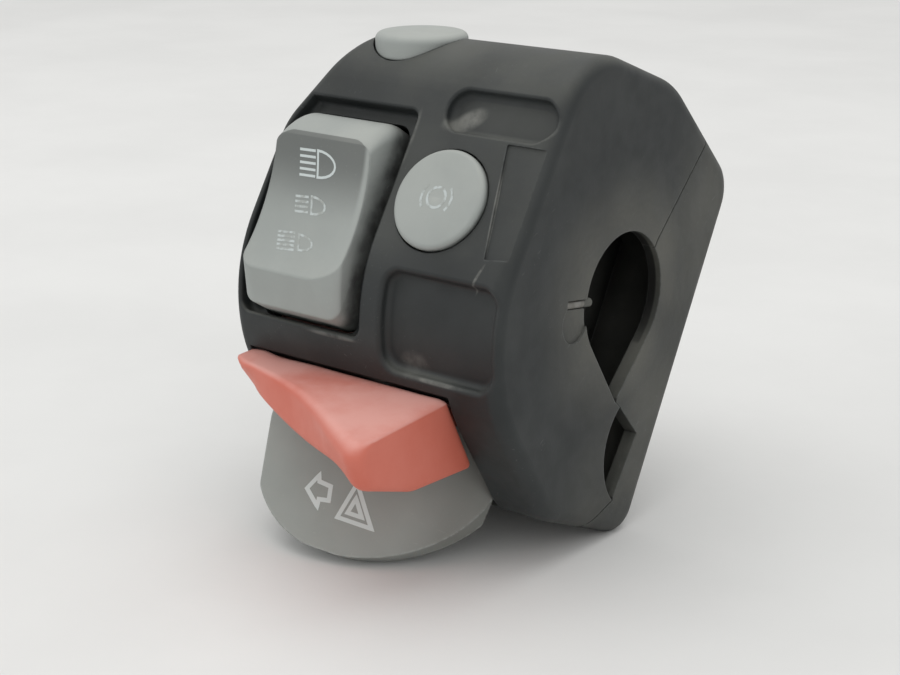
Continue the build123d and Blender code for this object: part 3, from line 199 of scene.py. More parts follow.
@dataclass
class NodeTree:
    """Thin helper that places and joins the nodes of one shader tree."""

    tree: bpy.types.NodeTree

    def add(self, kind: str, values: dict[Any, Any] | None = None, **settings: Any) -> bpy.types.Node:
        """Adds a node.

        Args:
            kind: Blender's type name of the node.
            values: Input socket names or numbers, each with a value or a socket to join.
            settings: Attributes of the node.

        Returns:
            The new node.
        """
        node = self.tree.nodes.new(kind)
        for name, value in settings.items():
            setattr(node, name, value)
        for name, value in (values or {}).items():
            self.feed(node.inputs[name], value)
        return node

    def feed(self, socket: bpy.types.NodeSocket, value: Any) -> None:
        """Joins a socket to another one, or sets its value.

        Args:
            socket: The input socket.
            value: The value, or the output socket to join.
        """
        if isinstance(value, bpy.types.NodeSocket):
            self.tree.links.new(value, socket)
        else:
            socket.default_value = value

    def maths(self, operation: str, first: Any, second: Any, clamp: bool = False) -> bpy.types.NodeSocket:
        """Adds a maths node.

        Args:
            operation: Name of the operation.
            first: First value or socket.
            second: Second value or socket.
            clamp: Whether the result is kept between 0 and 1.

        Returns:
            The node's output.
        """
        values = {0: first, 1: second}
        return self.add("ShaderNodeMath", values, operation=operation, use_clamp=clamp).outputs[0]

    def product(self, first: Any, *others: Any) -> bpy.types.NodeSocket:
        """Multiplies values and sockets.

        Args:
            first: First factor.
            others: The other factors.

        Returns:
            The product.
        """
        for other in others:
            first = self.maths("MULTIPLY", first, other)
        return first

    def ramp(
        self, value: Any, low: float, high: float, start: float = 0.0, end: float = 1.0
    ) -> bpy.types.NodeSocket:
        """Maps a value smoothly from one range to another.

        Args:
            value: Value or socket to map.
            low: Input that gives start.
            high: Input that gives end.
            start: Output at low.
            end: Output at high.

        Returns:
            The mapped output.
        """
        values = {"Value": value, "From Min": low, "From Max": high, "To Min": start, "To Max": end}
        return self.add("ShaderNodeMapRange", values, interpolation_type="SMOOTHSTEP").outputs["Result"]

    def noise(self, place: Any, scale: Any, detail: float, roughness: float = 0.5) -> bpy.types.NodeSocket:
        """Adds a noise texture.

        Args:
            place: Socket with the place in metres.
            scale: Cells in a metre, or the socket that gives them.
            detail: Octaves of detail.
            roughness: Weight of the finer octaves.

        Returns:
            The noise's factor output.
        """
        values = {"Vector": place, "Scale": scale, "Detail": detail, "Roughness": roughness}
        return self.add("ShaderNodeTexNoise", values).outputs[0]

    def blend(self, mask: Any, first: Any, second: Any) -> bpy.types.NodeSocket:
        """Mixes two colours by a mask.

        Args:
            mask: Value or socket, 0 for the first colour and 1 for the second.
            first: First colour or socket.
            second: Second colour or socket.

        Returns:
            The mixed colour.
        """
        return self.add("ShaderNodeMix", {0: mask, 6: first, 7: second}, data_type="RGBA").outputs[2]

    def place(self) -> bpy.types.NodeSocket:
        """Finds the place on the object, in its own coordinates.

        Returns:
            The socket with the place in metres.
        """
        return self.add("ShaderNodeTexCoord").outputs["Object"]

    def normal(self) -> bpy.types.NodeSocket:
        """Finds the way that the surface faces.

        Returns:
            The socket with the normal.
        """
        return self.add("ShaderNodeNewGeometry").outputs["Normal"]

    def measure(self, vector: Any, way: Any) -> bpy.types.NodeSocket:
        """Measures how far a vector reaches in a direction.

        Args:
            vector: Socket with the vector.
            way: The direction or its socket.

        Returns:
            The socket with the length.
        """
        values = {0: vector, 1: way}
        return self.add("ShaderNodeVectorMath", values, operation="DOT_PRODUCT").outputs["Value"]

    def open_air(self, reach: Any) -> bpy.types.NodeSocket:
        """Finds how open the surface lies, from 0 deep in a corner to 1 in the open.

        Args:
            reach: How far it looks for other surfaces, in metres.

        Returns:
            The socket with the openness.
        """
        node = self.add("ShaderNodeAmbientOcclusion", {"Distance": reach}, samples=SHADER_SAMPLES)
        return node.outputs["AO"]

    def rounded(self, radius: Any) -> bpy.types.NodeSocket:
        """Finds the normal that the surface would have with rounded edges.

        Args:
            radius: Radius of the rounding, in metres.

        Returns:
            The socket with the normal.
        """
        return self.add("ShaderNodeBevel", {"Radius": radius}, samples=SHADER_SAMPLES).outputs[0]

    def bump(self, height: Any, strength: float, depth: float, **values: Any) -> bpy.types.NodeSocket:
        """Tilts the surface by a fine height.

        Args:
            height: Socket with the height.
            strength: How strongly it shows.
            depth: The distance that a height of one stands for, in metres.
            values: Other inputs of the node.

        Returns:
            The socket with the tilted normal.
        """
        inputs = {"Height": height, "Strength": strength, "Distance": depth, **values}
        return self.add("ShaderNodeBump", inputs).outputs["Normal"]


def new_material(name: str) -> tuple[bpy.types.Material, NodeTree, bpy.types.Node]:
    """Starts a material with Blender's plain surface shader.

    Args:
        name: The material's name.

    Returns:
        The material, the helper for its tree and its surface shader.
    """
    material = bpy.data.materials.new(name)
    material.use_nodes = True
    return material, NodeTree(material.node_tree), material.node_tree.nodes["Principled BSDF"]


def new_group(name: str, inputs: Sequence[tuple[str, float]], output: str) -> tuple[NodeTree, Any, Any]:
    """Starts a shader node group with plain value sockets.

    Args:
        name: Name of the group.
        inputs: Names and first values of its inputs.
        output: Name of its output.

    Returns:
        The helper, the group's given values and the socket that takes its result.
    """
    tree = bpy.data.node_groups.new(name, "ShaderNodeTree")
    for label, value in inputs:
        socket = tree.interface.new_socket(label, in_out="INPUT", socket_type="NodeSocketFloat")
        socket.default_value = value
    tree.interface.new_socket(output, in_out="OUTPUT", socket_type="NodeSocketFloat")
    given, result = tree.nodes.new("NodeGroupInput"), tree.nodes.new("NodeGroupOutput")
    return NodeTree(tree), given.outputs, result.inputs[output]


@dataclass
class SharedEffects:
    """Shader groups that more than one finish uses, each built once."""

    made: dict[str, bpy.types.NodeTree] = field(default_factory=dict)
    edge_turn: Span = (0.995, 0.86)
    edge_reach: float = 2.0 * MM
    edge_air: Span = (0.55, 0.8)
    edge_patches: Ramp = (0.38, 0.62, 0.15, 1.0)
    # How closed in and how patchy the painted shade in inner corners is
    corner_air: Span = (0.82, 0.34)
    corner_patches: Ramp = (0.35, 0.65, 0.75, 1.0)
    # How the dust and the painted top light grow on upward faces, and their patches
    dust_and_lit_top_rise: Ramp = (0.2, 0.95, 0.12, 1.0)
    dust_and_lit_top_patches: Ramp = (0.3, 0.66, 0.3, 1.0)
    scratch_turns: tuple[Place, ...] = ((0.2, 0.9, 0.5), (1.1, 0.3, -0.7), (-0.6, 0.5, 1.4))
    scratch_lines: Span = (0.735, 0.79)
    scratch_cells: float = 45.0
    scratch_regions: Span = (0.42, 0.6)
    wave_cells: float = 160.0

    def use(self, shader: NodeTree, name: str, **values: float) -> bpy.types.NodeSocket:
        """Places a group in a material.

        Args:
            shader: The material's tree.
            name: Name of the effect.
            values: Values for the group's inputs.

        Returns:
            The group's output.
        """
        if name not in self.made:
            self.made[name] = getattr(self, name)()
        return shader.add("ShaderNodeGroup", values, node_tree=self.made[name]).outputs[0]

    def edge_wear(self) -> bpy.types.NodeTree:
        """Builds the mask of rubbed outer edges.

        Returns:
            The group's tree.
        """
        inputs = (("Width", 0.6 * MM), ("Breakup", 900.0))
        shader, given, result = new_group("edge_wear", inputs, "Mask")
        turn = shader.measure(shader.rounded(given["Width"]), shader.normal())
        edge = shader.ramp(turn, *self.edge_turn)
        outer = shader.ramp(shader.open_air(self.edge_reach), *self.edge_air)
        patches = shader.noise(shader.place(), given["Breakup"], 4.0)
        broken = shader.ramp(patches, *self.edge_patches)
        shader.feed(result, shader.product(edge, outer, broken))
        return shader.tree

    def painted_corner_shade(self) -> bpy.types.NodeTree:
        """Builds the mask of painted shade in inner corners, where less light reaches.

        Returns:
            The group's tree.
        """
        inputs = (("Reach", 3.0 * MM), ("Breakup", 300.0))
        shader, given, result = new_group("painted_corner_shade", inputs, "Mask")
        closed = shader.ramp(shader.open_air(given["Reach"]), *self.corner_air)
        patches = shader.noise(shader.place(), given["Breakup"], 3.0)
        broken = shader.ramp(patches, *self.corner_patches)
        shader.feed(result, shader.product(closed, broken))
        return shader.tree

    def dust_and_lit_top_mask(self) -> bpy.types.NodeTree:
        """Builds the mask of dust that lies on upward faces in soft patches, which also stands for painted
        light on the upward faces.

        Returns:
            The group's tree.
        """
        inputs = (("Scale", 60.0), ("Cover", 0.5))
        shader, given, result = new_group("dust_and_lit_top_mask", inputs, "Mask")
        broad = shader.noise(shader.place(), given["Scale"], 6.0, 0.62)
        patch = shader.ramp(broad, *self.dust_and_lit_top_patches)
        height = shader.add("ShaderNodeSeparateXYZ", {"Vector": shader.normal()}).outputs["Z"]
        lying = shader.ramp(height, *self.dust_and_lit_top_rise)
        shader.feed(result, shader.product(patch, lying, given["Cover"]))
        return shader.tree

    def fine_scratches(self) -> bpy.types.NodeTree:
        """Builds the mask of short fine scratches in three directions.

        Returns:
            The group's tree.
        """
        inputs = (("Length", 90.0), ("Fineness", 2600.0))
        shader, given, result = new_group("fine_scratches", inputs, "Mask")
        place = shader.place()
        parts = {"X": given["Length"], "Y": given["Fineness"], "Z": given["Fineness"]}
        squeeze = shader.add("ShaderNodeCombineXYZ", parts).outputs[0]
        total: Any = 0.0
        for turn in self.scratch_turns:
            values = {"Vector": place, "Rotation": turn}
            turned = shader.add("ShaderNodeVectorRotate", values, rotation_type="EULER_XYZ").outputs[0]
            scaled = shader.add("ShaderNodeVectorMath", {0: turned, 1: squeeze}, operation="MULTIPLY")
            streak = shader.noise(scaled.outputs[0], 1.0, 1.0)
            total = shader.maths("MAXIMUM", total, shader.ramp(streak, *self.scratch_lines))
        region = shader.ramp(shader.noise(place, self.scratch_cells, 2.0), *self.scratch_regions)
        shader.feed(result, shader.product(total, region))
        return shader.tree

    def moulded_grain(self) -> bpy.types.NodeTree:
        """Builds the height of the fine texture that a mould leaves.

        Returns:
            The group's tree.
        """
        inputs = (("Fineness", 2600.0), ("Waviness", 0.25))
        shader, given, result = new_group("moulded_grain", inputs, "Height")
        place = shader.place()
        fine = shader.noise(place, given["Fineness"], 2.0)
        wave = shader.product(shader.noise(place, self.wave_cells, 2.0), given["Waviness"])
        shader.feed(result, shader.maths("ADD", fine, wave))
        return shader.tree


@dataclass(frozen=True)
class PlasticFinish:
    """Moulded plastic with its age: uneven colour, dust with painted light on upward faces, rubbed edges,
    scratches and fine grain, and painted shade in inner corners.
    """

    name: str
    colour: Colour
    faded: Colour
    rubbed: Colour
    dust_and_lit_top: Colour
    roughness: float = 0.55
    gloss: float = 0.35
    edge_width: float = 0.6 * MM
    edge_share: float = 0.6
    dust_and_lit_top_share: float = 0.35
    scratch_share: float = 0.4
    # Strength, reach and darkness of the painted shade in inner corners
    corner_shade_share: float = 0.5
    corner_shade_reach: float = 3.0 * MM
    corner_shade_tone: float = 0.35
    soft_edge: float = 0.4 * MM
    grain: float = 0.12
    cloud_cells: float = 55.0
    dull_dust: float = 0.3
    uneven_cells: float = 240.0
    uneven_gloss: float = 0.06

    def build(self, effects: SharedEffects) -> bpy.types.Material:
        """Builds the material.

        Args:
            effects: The shared shader groups.

        Returns:
            The material.
        """
        material, shader, surface = new_material(self.name)
        place = shader.place()
        cloud = shader.ramp(shader.noise(place, self.cloud_cells, 5.0, 0.6), *MOTTLE)
        colour = shader.blend(cloud, self.colour, self.faded)
        colour = self.zones(shader, place, colour)
        # Painted shade: darker where the surface is closed in by other surfaces
        corner_shade = shader.product(effects.use(shader, "painted_corner_shade", Reach=self.corner_shade_reach), self.corner_shade_share)
        colour = shader.blend(corner_shade, colour, darker(self.colour, self.corner_shade_tone))
        # Dust on upward faces, which is also painted light: it lightens the tops
        dust_and_lit_top = effects.use(shader, "dust_and_lit_top_mask", Cover=self.dust_and_lit_top_share)
        colour = shader.blend(dust_and_lit_top, colour, self.dust_and_lit_top)
        scratches = shader.product(effects.use(shader, "fine_scratches"), self.scratch_share)
        colour = shader.blend(scratches, colour, self.rubbed)
        wear = shader.product(effects.use(shader, "edge_wear", Width=self.edge_width), self.edge_share)
        colour = shader.blend(wear, colour, self.rubbed)
        shader.feed(surface.inputs["Base Color"], colour)
        surface.inputs["Specular IOR Level"].default_value = self.gloss
        rough = shader.maths("ADD", shader.product(dust_and_lit_top, self.dull_dust), self.roughness, clamp=True)
        spots = shader.noise(place, self.uneven_cells, 3.0)
        uneven = shader.ramp(spots, *MOTTLE, -self.uneven_gloss, self.uneven_gloss)
        shader.feed(surface.inputs["Roughness"], shader.maths("ADD", rough, uneven, clamp=True))
        height = effects.use(shader, "moulded_grain")
        normal = shader.bump(height, self.grain, GRAIN_DEPTH, Normal=shader.rounded(self.soft_edge))
        shader.feed(surface.inputs["Normal"], normal)
        return material

    def zones(self, shader: NodeTree, place: Any, colour: Any) -> Any:
        """Colours parts of the surface apart. Plain plastic has none.

        Args:
            shader: The material's tree.
            place: Socket with the object's own coordinates.
            colour: The colour so far.

        Returns:
            The same colour.
        """
        return colour


@dataclass(frozen=True)
class Scuff:
    """Pale scrape on the switch face, in two places also a painted highlight along an edge: middle and half
    extent along the bar and up the face, in metres.

    A scrape with a lean runs along the bar by that share of its rise.
    """

    along: float
    up: float
    half_along: float
    half_up: float
    strength: float
    fineness: float = 420.0
    lean: float = 0.0
    patches: Ramp = (0.3, 0.68, 0.1, 1.0)
    fringe: Span = (1.0, 0.1)

    def mask(self, shader: NodeTree, place: Any, along: Any, up: Any) -> Any:
        """Builds the scrape's mask.

        Args:
            shader: The material's tree.
            place: Socket with the object's own coordinates.
            along: Socket with the place along the bar.
            up: Socket with the place up the face.

        Returns:
            The mask's socket.
        """
        risen = shader.maths("SUBTRACT", up, self.up)
        shifted = shader.maths("SUBTRACT", along, shader.product(risen, self.lean))
        side = shader.maths("DIVIDE", shader.maths("SUBTRACT", shifted, self.along), self.half_along)
        rise = shader.maths("DIVIDE", risen, self.half_up)
        spread = shader.maths("ADD", shader.product(side, side), shader.product(rise, rise))
        patch = shader.ramp(shader.noise(place, self.fineness, 5.0, 0.6), *self.patches)
        return shader.product(shader.ramp(spread, *self.fringe), patch, self.strength)


@dataclass(frozen=True)
class HousingFinish(PlasticFinish):
    """The housing's plastic, with road dust at the bar and behind, a scuffed face with painted highlights on
    two edges, and black painted shade inside the bore and the slot.
    """

    road_dust: Colour = srgb(118, 116, 107)
    scuff_and_highlight: Colour = srgb(150, 150, 144)
    inside_shade: Colour = srgb(12, 12, 12)
    ring: Span = (26.0 * MM, 11.0 * MM)
    end_face: Span = (-6.0 * MM, -0.5 * MM)
    back: Span = (4.0 * MM, -18.0 * MM)
    back_share: float = 0.7
    dirt_cells: float = 62.0
    dirt_patches: Ramp = (0.28, 0.72, 0.35, 1.0)
    dirt_share: float = 0.46
    face: Span = (22.0 * MM, 26.0 * MM)
    bore: Span = (BORE_RADIUS + 0.25 * MM, BORE_RADIUS + 0.1 * MM)
    slot_reach: float = 6.0 * MM
    slot_air: Span = (0.8, 0.55)
    slot: Span = (8.0 * MM, 5.0 * MM)
    depth: Span = (-0.8 * MM, -1.2 * MM)
    scuffs_and_highlights: tuple[Scuff, ...] = (
        # This scrape along the square pocket's lower lip is partly wear and partly a painted highlight where
        # the lip catches the light
        Scuff(-12.0 * MM, -25.0 * MM, 7.5 * MM, 0.5 * MM, 0.7, 300.0),
        Scuff(-17.5 * MM, -23.4 * MM, 3.6 * MM, 2.6 * MM, 0.25),
        Scuff(-18.6 * MM, 15.8 * MM, 3.0 * MM, 3.0 * MM, 0.6, 210.0, 0.8),
        Scuff(-6.6 * MM, 1.6 * MM, 0.3 * MM, 8.2 * MM, 0.45, 160.0, -0.167),
        Scuff(-5.6 * MM, -9.0 * MM, 0.35 * MM, 2.6 * MM, 0.4, 700.0, 0.35),
        # This line along the rocker recess's lower edge is partly wear and partly a painted highlight on
        # that edge
        Scuff(-33.0 * MM, -22.2 * MM, 7.0 * MM, 0.4 * MM, 0.3, 300.0),
        Scuff(-26.9 * MM, 11.0 * MM, 0.7 * MM, 6.0 * MM, 0.25),
    )

    def zones(self, shader: NodeTree, place: Any, colour: Any) -> Any:
        """Adds the road dust, the scuffs with their painted highlights, and black painted shade inside the
        bore and the slot.

        Args:
            shader: The material's tree.
            place: Socket with the object's own coordinates.
            colour: The colour so far.

        Returns:
            The colour with all of them.
        """
        parts = shader.add("ShaderNodeSeparateXYZ", {"Vector": place}).outputs
        flat = shader.add("ShaderNodeCombineXYZ", {"X": 0.0, "Y": parts["Y"], "Z": parts["Z"]}).outputs[0]
        reach = shader.add("ShaderNodeVectorMath", {0: flat}, operation="LENGTH").outputs["Value"]
        along, up, out = parts["X"], shader.measure(place, UPWARD), shader.measure(place, OUTWARD)
        near = shader.product(shader.ramp(reach, *self.ring), shader.ramp(along, *self.end_face))
        behind = shader.product(shader.ramp(out, *self.back), self.back_share)
        patches = shader.ramp(shader.noise(place, self.dirt_cells, 8.0, 0.66), *self.dirt_patches)
        mask = shader.product(shader.maths("MAXIMUM", near, behind), patches, self.dirt_share)
        colour = shader.blend(mask, colour, self.road_dust)
        on_face = shader.ramp(out, *self.face)
        for scuff in self.scuffs_and_highlights:
            scuff_and_highlight_mask = shader.product(scuff.mask(shader, place, along, up), on_face)
            colour = shader.blend(scuff_and_highlight_mask, colour, self.scuff_and_highlight)
        # Painted shade: black deep in the bore and in the closed-in slot, where little light reaches
        in_bore = shader.ramp(reach, *self.bore)
        closed = shader.ramp(shader.open_air(self.slot_reach), *self.slot_air)
        in_slot = shader.product(closed, shader.ramp(out, *self.slot))
        inside = shader.maths("MAXIMUM", in_bore, in_slot)
        mask = shader.product(inside, shader.ramp(along, *self.depth))
        return shader.blend(mask, colour, self.inside_shade)


@dataclass(frozen=True)
class ButtonFinish(PlasticFinish):
    """The pale plastic of the rocker and the buttons, with painted shade in the rocker's upper hollow."""

    hollow_shade: float = 0.46
    hollow_shade_rise: Span = (-7.0 * MM, 5.0 * MM)
    hollow_turn: Span = (0.45, 0.1)
    rocker_end: Span = (-31.0 * MM, -32.0 * MM)
    rocker_top: Span = (19.0 * MM, 18.0 * MM)

    def zones(self, shader: NodeTree, place: Any, colour: Any) -> Any:
        """Paints shade on the upper hollow of the rocker, on faces that turn away from the light above.

        Args:
            shader: The material's tree.
            place: Socket with the object's own coordinates.
            colour: The colour so far.

        Returns:
            The colour with the painted shade.
        """
        along, up = shader.measure(place, INBOARD), shader.measure(place, UPWARD)
        facing = shader.measure(shader.normal(), UPWARD)
        # Painted shade: darker high on the rocker, on faces that turn away from UPWARD
        hollow_shade_mask = shader.product(shader.ramp(up, *self.hollow_shade_rise), shader.ramp(facing, *self.hollow_turn))
        on_rocker = shader.product(shader.ramp(along, *self.rocker_end), shader.ramp(up, *self.rocker_top))
        return shader.blend(shader.product(hollow_shade_mask, on_rocker), colour, darker(self.colour, self.hollow_shade))


@dataclass(frozen=True)
class LeverFinish(PlasticFinish):
    """The horn lever's plastic, with black painted shade where it runs inside the housing."""

    mouth_shade: Colour = srgb(16, 12, 11)
    mouth: Span = (-27.0 * MM, -26.4 * MM)

    def zones(self, shader: NodeTree, place: Any, colour: Any) -> Any:
        """Paints black shade on the part of the lever that is inside the housing's mouth.

        Args:
            shader: The material's tree.
            place: Socket with the object's own coordinates.
            colour: The colour so far.

        Returns:
            The colour with the painted shade.
        """
        # Painted shade: black above the housing's mouth, where the lever lies in shadow
        mask = shader.ramp(shader.measure(place, UPWARD), *self.mouth)
        return shader.blend(mask, colour, self.mouth_shade)


@dataclass(frozen=True)
class TurnFinish(PlasticFinish):
    """The turn lever's plastic, with a brownish painted shadow at the end that the housing shades."""

    housing_shadow: Colour = srgb(82, 77, 71)
    housing_shadow_share: float = 0.5
    housing_shadow_end: Span = (-21.0 * MM, -13.0 * MM)

    def zones(self, shader: NodeTree, place: Any, colour: Any) -> Any:
        """Paints the housing's shadow, brownish, on the inboard end.

        Args:
            shader: The material's tree.
            place: Socket with the object's own coordinates.
            colour: The colour so far.

        Returns:
            The colour with the painted shadow.
        """
        # Painted shadow of the housing, growing towards the inboard end
        mask = shader.ramp(shader.measure(place, INBOARD), *self.housing_shadow_end, end=self.housing_shadow_share)
        return shader.blend(mask, colour, self.housing_shadow)


@dataclass(frozen=True)
class MetalFinish:
    """Metal with a drawn or turned surface and uneven tarnish."""

    name: str
    colour: Colour
    tarnish: Colour
    roughness: float = 0.35
    tarnish_share: float = 0.4
    tarnish_cells: float = 320.0
    tarnish_patches: Span = (0.35, 0.7)
    dull_tarnish: float = 0.5
    grain: float = 0.15
    grain_fineness: float = 5200.0
    waviness: float = 0.6

    def build(self, effects: SharedEffects) -> bpy.types.Material:
        """Builds the material.

        Args:
            effects: The shared shader groups.

        Returns:
            The material.
        """
        material, shader, surface = new_material(self.name)
        place = shader.place()
        spots = shader.noise(place, self.tarnish_cells, 5.0, 0.6)
        patches = shader.ramp(spots, *self.tarnish_patches, end=self.tarnish_share)
        shader.feed(surface.inputs["Base Color"], shader.blend(patches, self.colour, self.tarnish))
        surface.inputs["Metallic"].default_value = 1.0
        dull = shader.product(patches, self.dull_tarnish)
        shader.feed(surface.inputs["Roughness"], shader.maths("ADD", dull, self.roughness, clamp=True))
        height = effects.use(shader, "moulded_grain", Fineness=self.grain_fineness, Waviness=self.waviness)
        shader.feed(surface.inputs["Normal"], shader.bump(height, self.grain, METAL_GRAIN_DEPTH))
        return material


@dataclass(frozen=True)
class PrintFinish:
    """Printed ink on a control, rubbed through to the plastic in places."""

    name: str
    ink: Colour
    plastic: Colour
    worn: float
    breakup: float = 900.0
    sound: float = 0.8
    fringe: float = 0.2
    gloss: float = 0.3
    roughness: float = 0.5
    grain: float = 0.1
    grain_fineness: float = 3000.0

    def build(self, effects: SharedEffects) -> bpy.types.Material:
        """Builds the material.

        Args:
            effects: The shared shader groups.

        Returns:
            The material.
        """
        material, shader, surface = new_material(self.name)
        place = shader.place()
        kept = self.sound * (1.0 - self.worn)
        rubbed = shader.ramp(shader.noise(place, self.breakup, 4.0, 0.6), kept, kept + self.fringe)
        shader.feed(surface.inputs["Base Color"], shader.blend(rubbed, self.ink, self.plastic))
        surface.inputs["Specular IOR Level"].default_value = self.gloss
        surface.inputs["Roughness"].default_value = self.roughness
        height = effects.use(shader, "moulded_grain", Fineness=self.grain_fineness)
        shader.feed(surface.inputs["Normal"], shader.bump(height, self.grain, GRAIN_DEPTH))
        return material


class Finish(Enum):
    """The finishes of the cluster, each with the record's material slot as its name."""

    HOUSING = HousingFinish(
        "housing_plastic", colour=srgb(31, 35, 36), faded=srgb(39, 43, 44), rubbed=srgb(118, 122, 121),
        dust_and_lit_top=srgb(116, 117, 110), roughness=0.54, gloss=0.38, edge_width=0.5 * MM, edge_share=0.35,
        dust_and_lit_top_share=0.42, scratch_share=0.22, corner_shade_share=0.6, corner_shade_reach=1.2 * MM, grain=0.14,
    )
    BUTTON = ButtonFinish(
        "button_plastic", colour=srgb(147, 152, 149), faded=srgb(155, 160, 157), rubbed=srgb(190, 195, 191),
        dust_and_lit_top=srgb(186, 187, 179), roughness=0.5, edge_share=0.15, dust_and_lit_top_share=0.35, scratch_share=0.12,
        corner_shade_share=0.95, corner_shade_reach=6.0 * MM, corner_shade_tone=0.1, soft_edge=0.7 * MM, grain=0.06,
    )
    # The horn's pale pink dust colour is partly dust and partly a painted highlight, a lit copy of its red
    HORN = LeverFinish(
        "horn_plastic", colour=srgb(200, 100, 80), faded=srgb(207, 113, 95), rubbed=srgb(226, 172, 162),
        dust_and_lit_top=srgb(224, 172, 163), roughness=0.5, edge_share=0.2, dust_and_lit_top_share=0.75, scratch_share=0.12,
        corner_shade_share=0.7, soft_edge=1.2 * MM, grain=0.06,
    )
    TURN = TurnFinish(
        "turn_plastic", colour=srgb(142, 147, 143), faded=srgb(150, 154, 150), rubbed=srgb(186, 190, 187),
        dust_and_lit_top=srgb(156, 154, 144), roughness=0.5, edge_width=0.8 * MM, edge_share=0.5, dust_and_lit_top_share=0.2,
        scratch_share=0.15, corner_shade_share=0.4, grain=0.06,
    )
    NYLON = PlasticFinish(
        "black_nylon", colour=srgb(24, 24, 25), faded=srgb(34, 34, 35), rubbed=srgb(88, 88, 88),
        dust_and_lit_top=srgb(70, 68, 64), roughness=0.55, dust_and_lit_top_share=0.15, scratch_share=0.1,
    )
    LAMINATE = PlasticFinish(
        "board_laminate", colour=srgb(112, 78, 46), faded=srgb(124, 90, 56), rubbed=srgb(160, 130, 96),
        dust_and_lit_top=srgb(120, 104, 84), roughness=0.45, dust_and_lit_top_share=0.15, scratch_share=0.1,
    )
    STEEL = MetalFinish("plated_steel", srgb(138, 137, 133), tarnish=srgb(96, 90, 82), roughness=0.45)
    SPRING = MetalFinish("spring_steel", srgb(150, 150, 150), tarnish=srgb(96, 92, 88), roughness=0.3)
    BRASS = MetalFinish("brass", srgb(196, 162, 92), tarnish=srgb(130, 102, 60))


class Ink(Enum):
    """The prints on the controls, from fresh to almost rubbed away."""

    CLEAR = PrintFinish("print_clear", srgb(198, 206, 205), plastic=srgb(150, 154, 150), worn=0.2)
    FADED = PrintFinish("print_faded", srgb(186, 193, 192), plastic=srgb(158, 162, 158), worn=0.5)
    LEVER = PrintFinish("print_lever", srgb(204, 211, 209), plastic=srgb(152, 156, 152), worn=0.14)


@dataclass
class Paints:
    """The materials of all finishes, each built when it is first asked for."""

    effects: SharedEffects = field(default_factory=SharedEffects)
    made: dict[str, bpy.types.Material] = field(default_factory=dict)

    def get(self, finish: Enum) -> bpy.types.Material:
        """Finds the material of a finish or an ink.

        Args:
            finish: The finish or ink.

        Returns:
            Its material.
        """
        if finish.value.name not in self.made:
            self.made[finish.value.name] = finish.value.build(self.effects)
        return self.made[finish.value.name]

    def coat(self, piece: bpy.types.Object, finish: Enum) -> None:
        """Gives a piece one material, on all its faces.

        Args:
            piece: The piece.
            finish: Its finish or ink.
        """
        piece.data.materials.clear()
        piece.data.materials.append(self.get(finish))


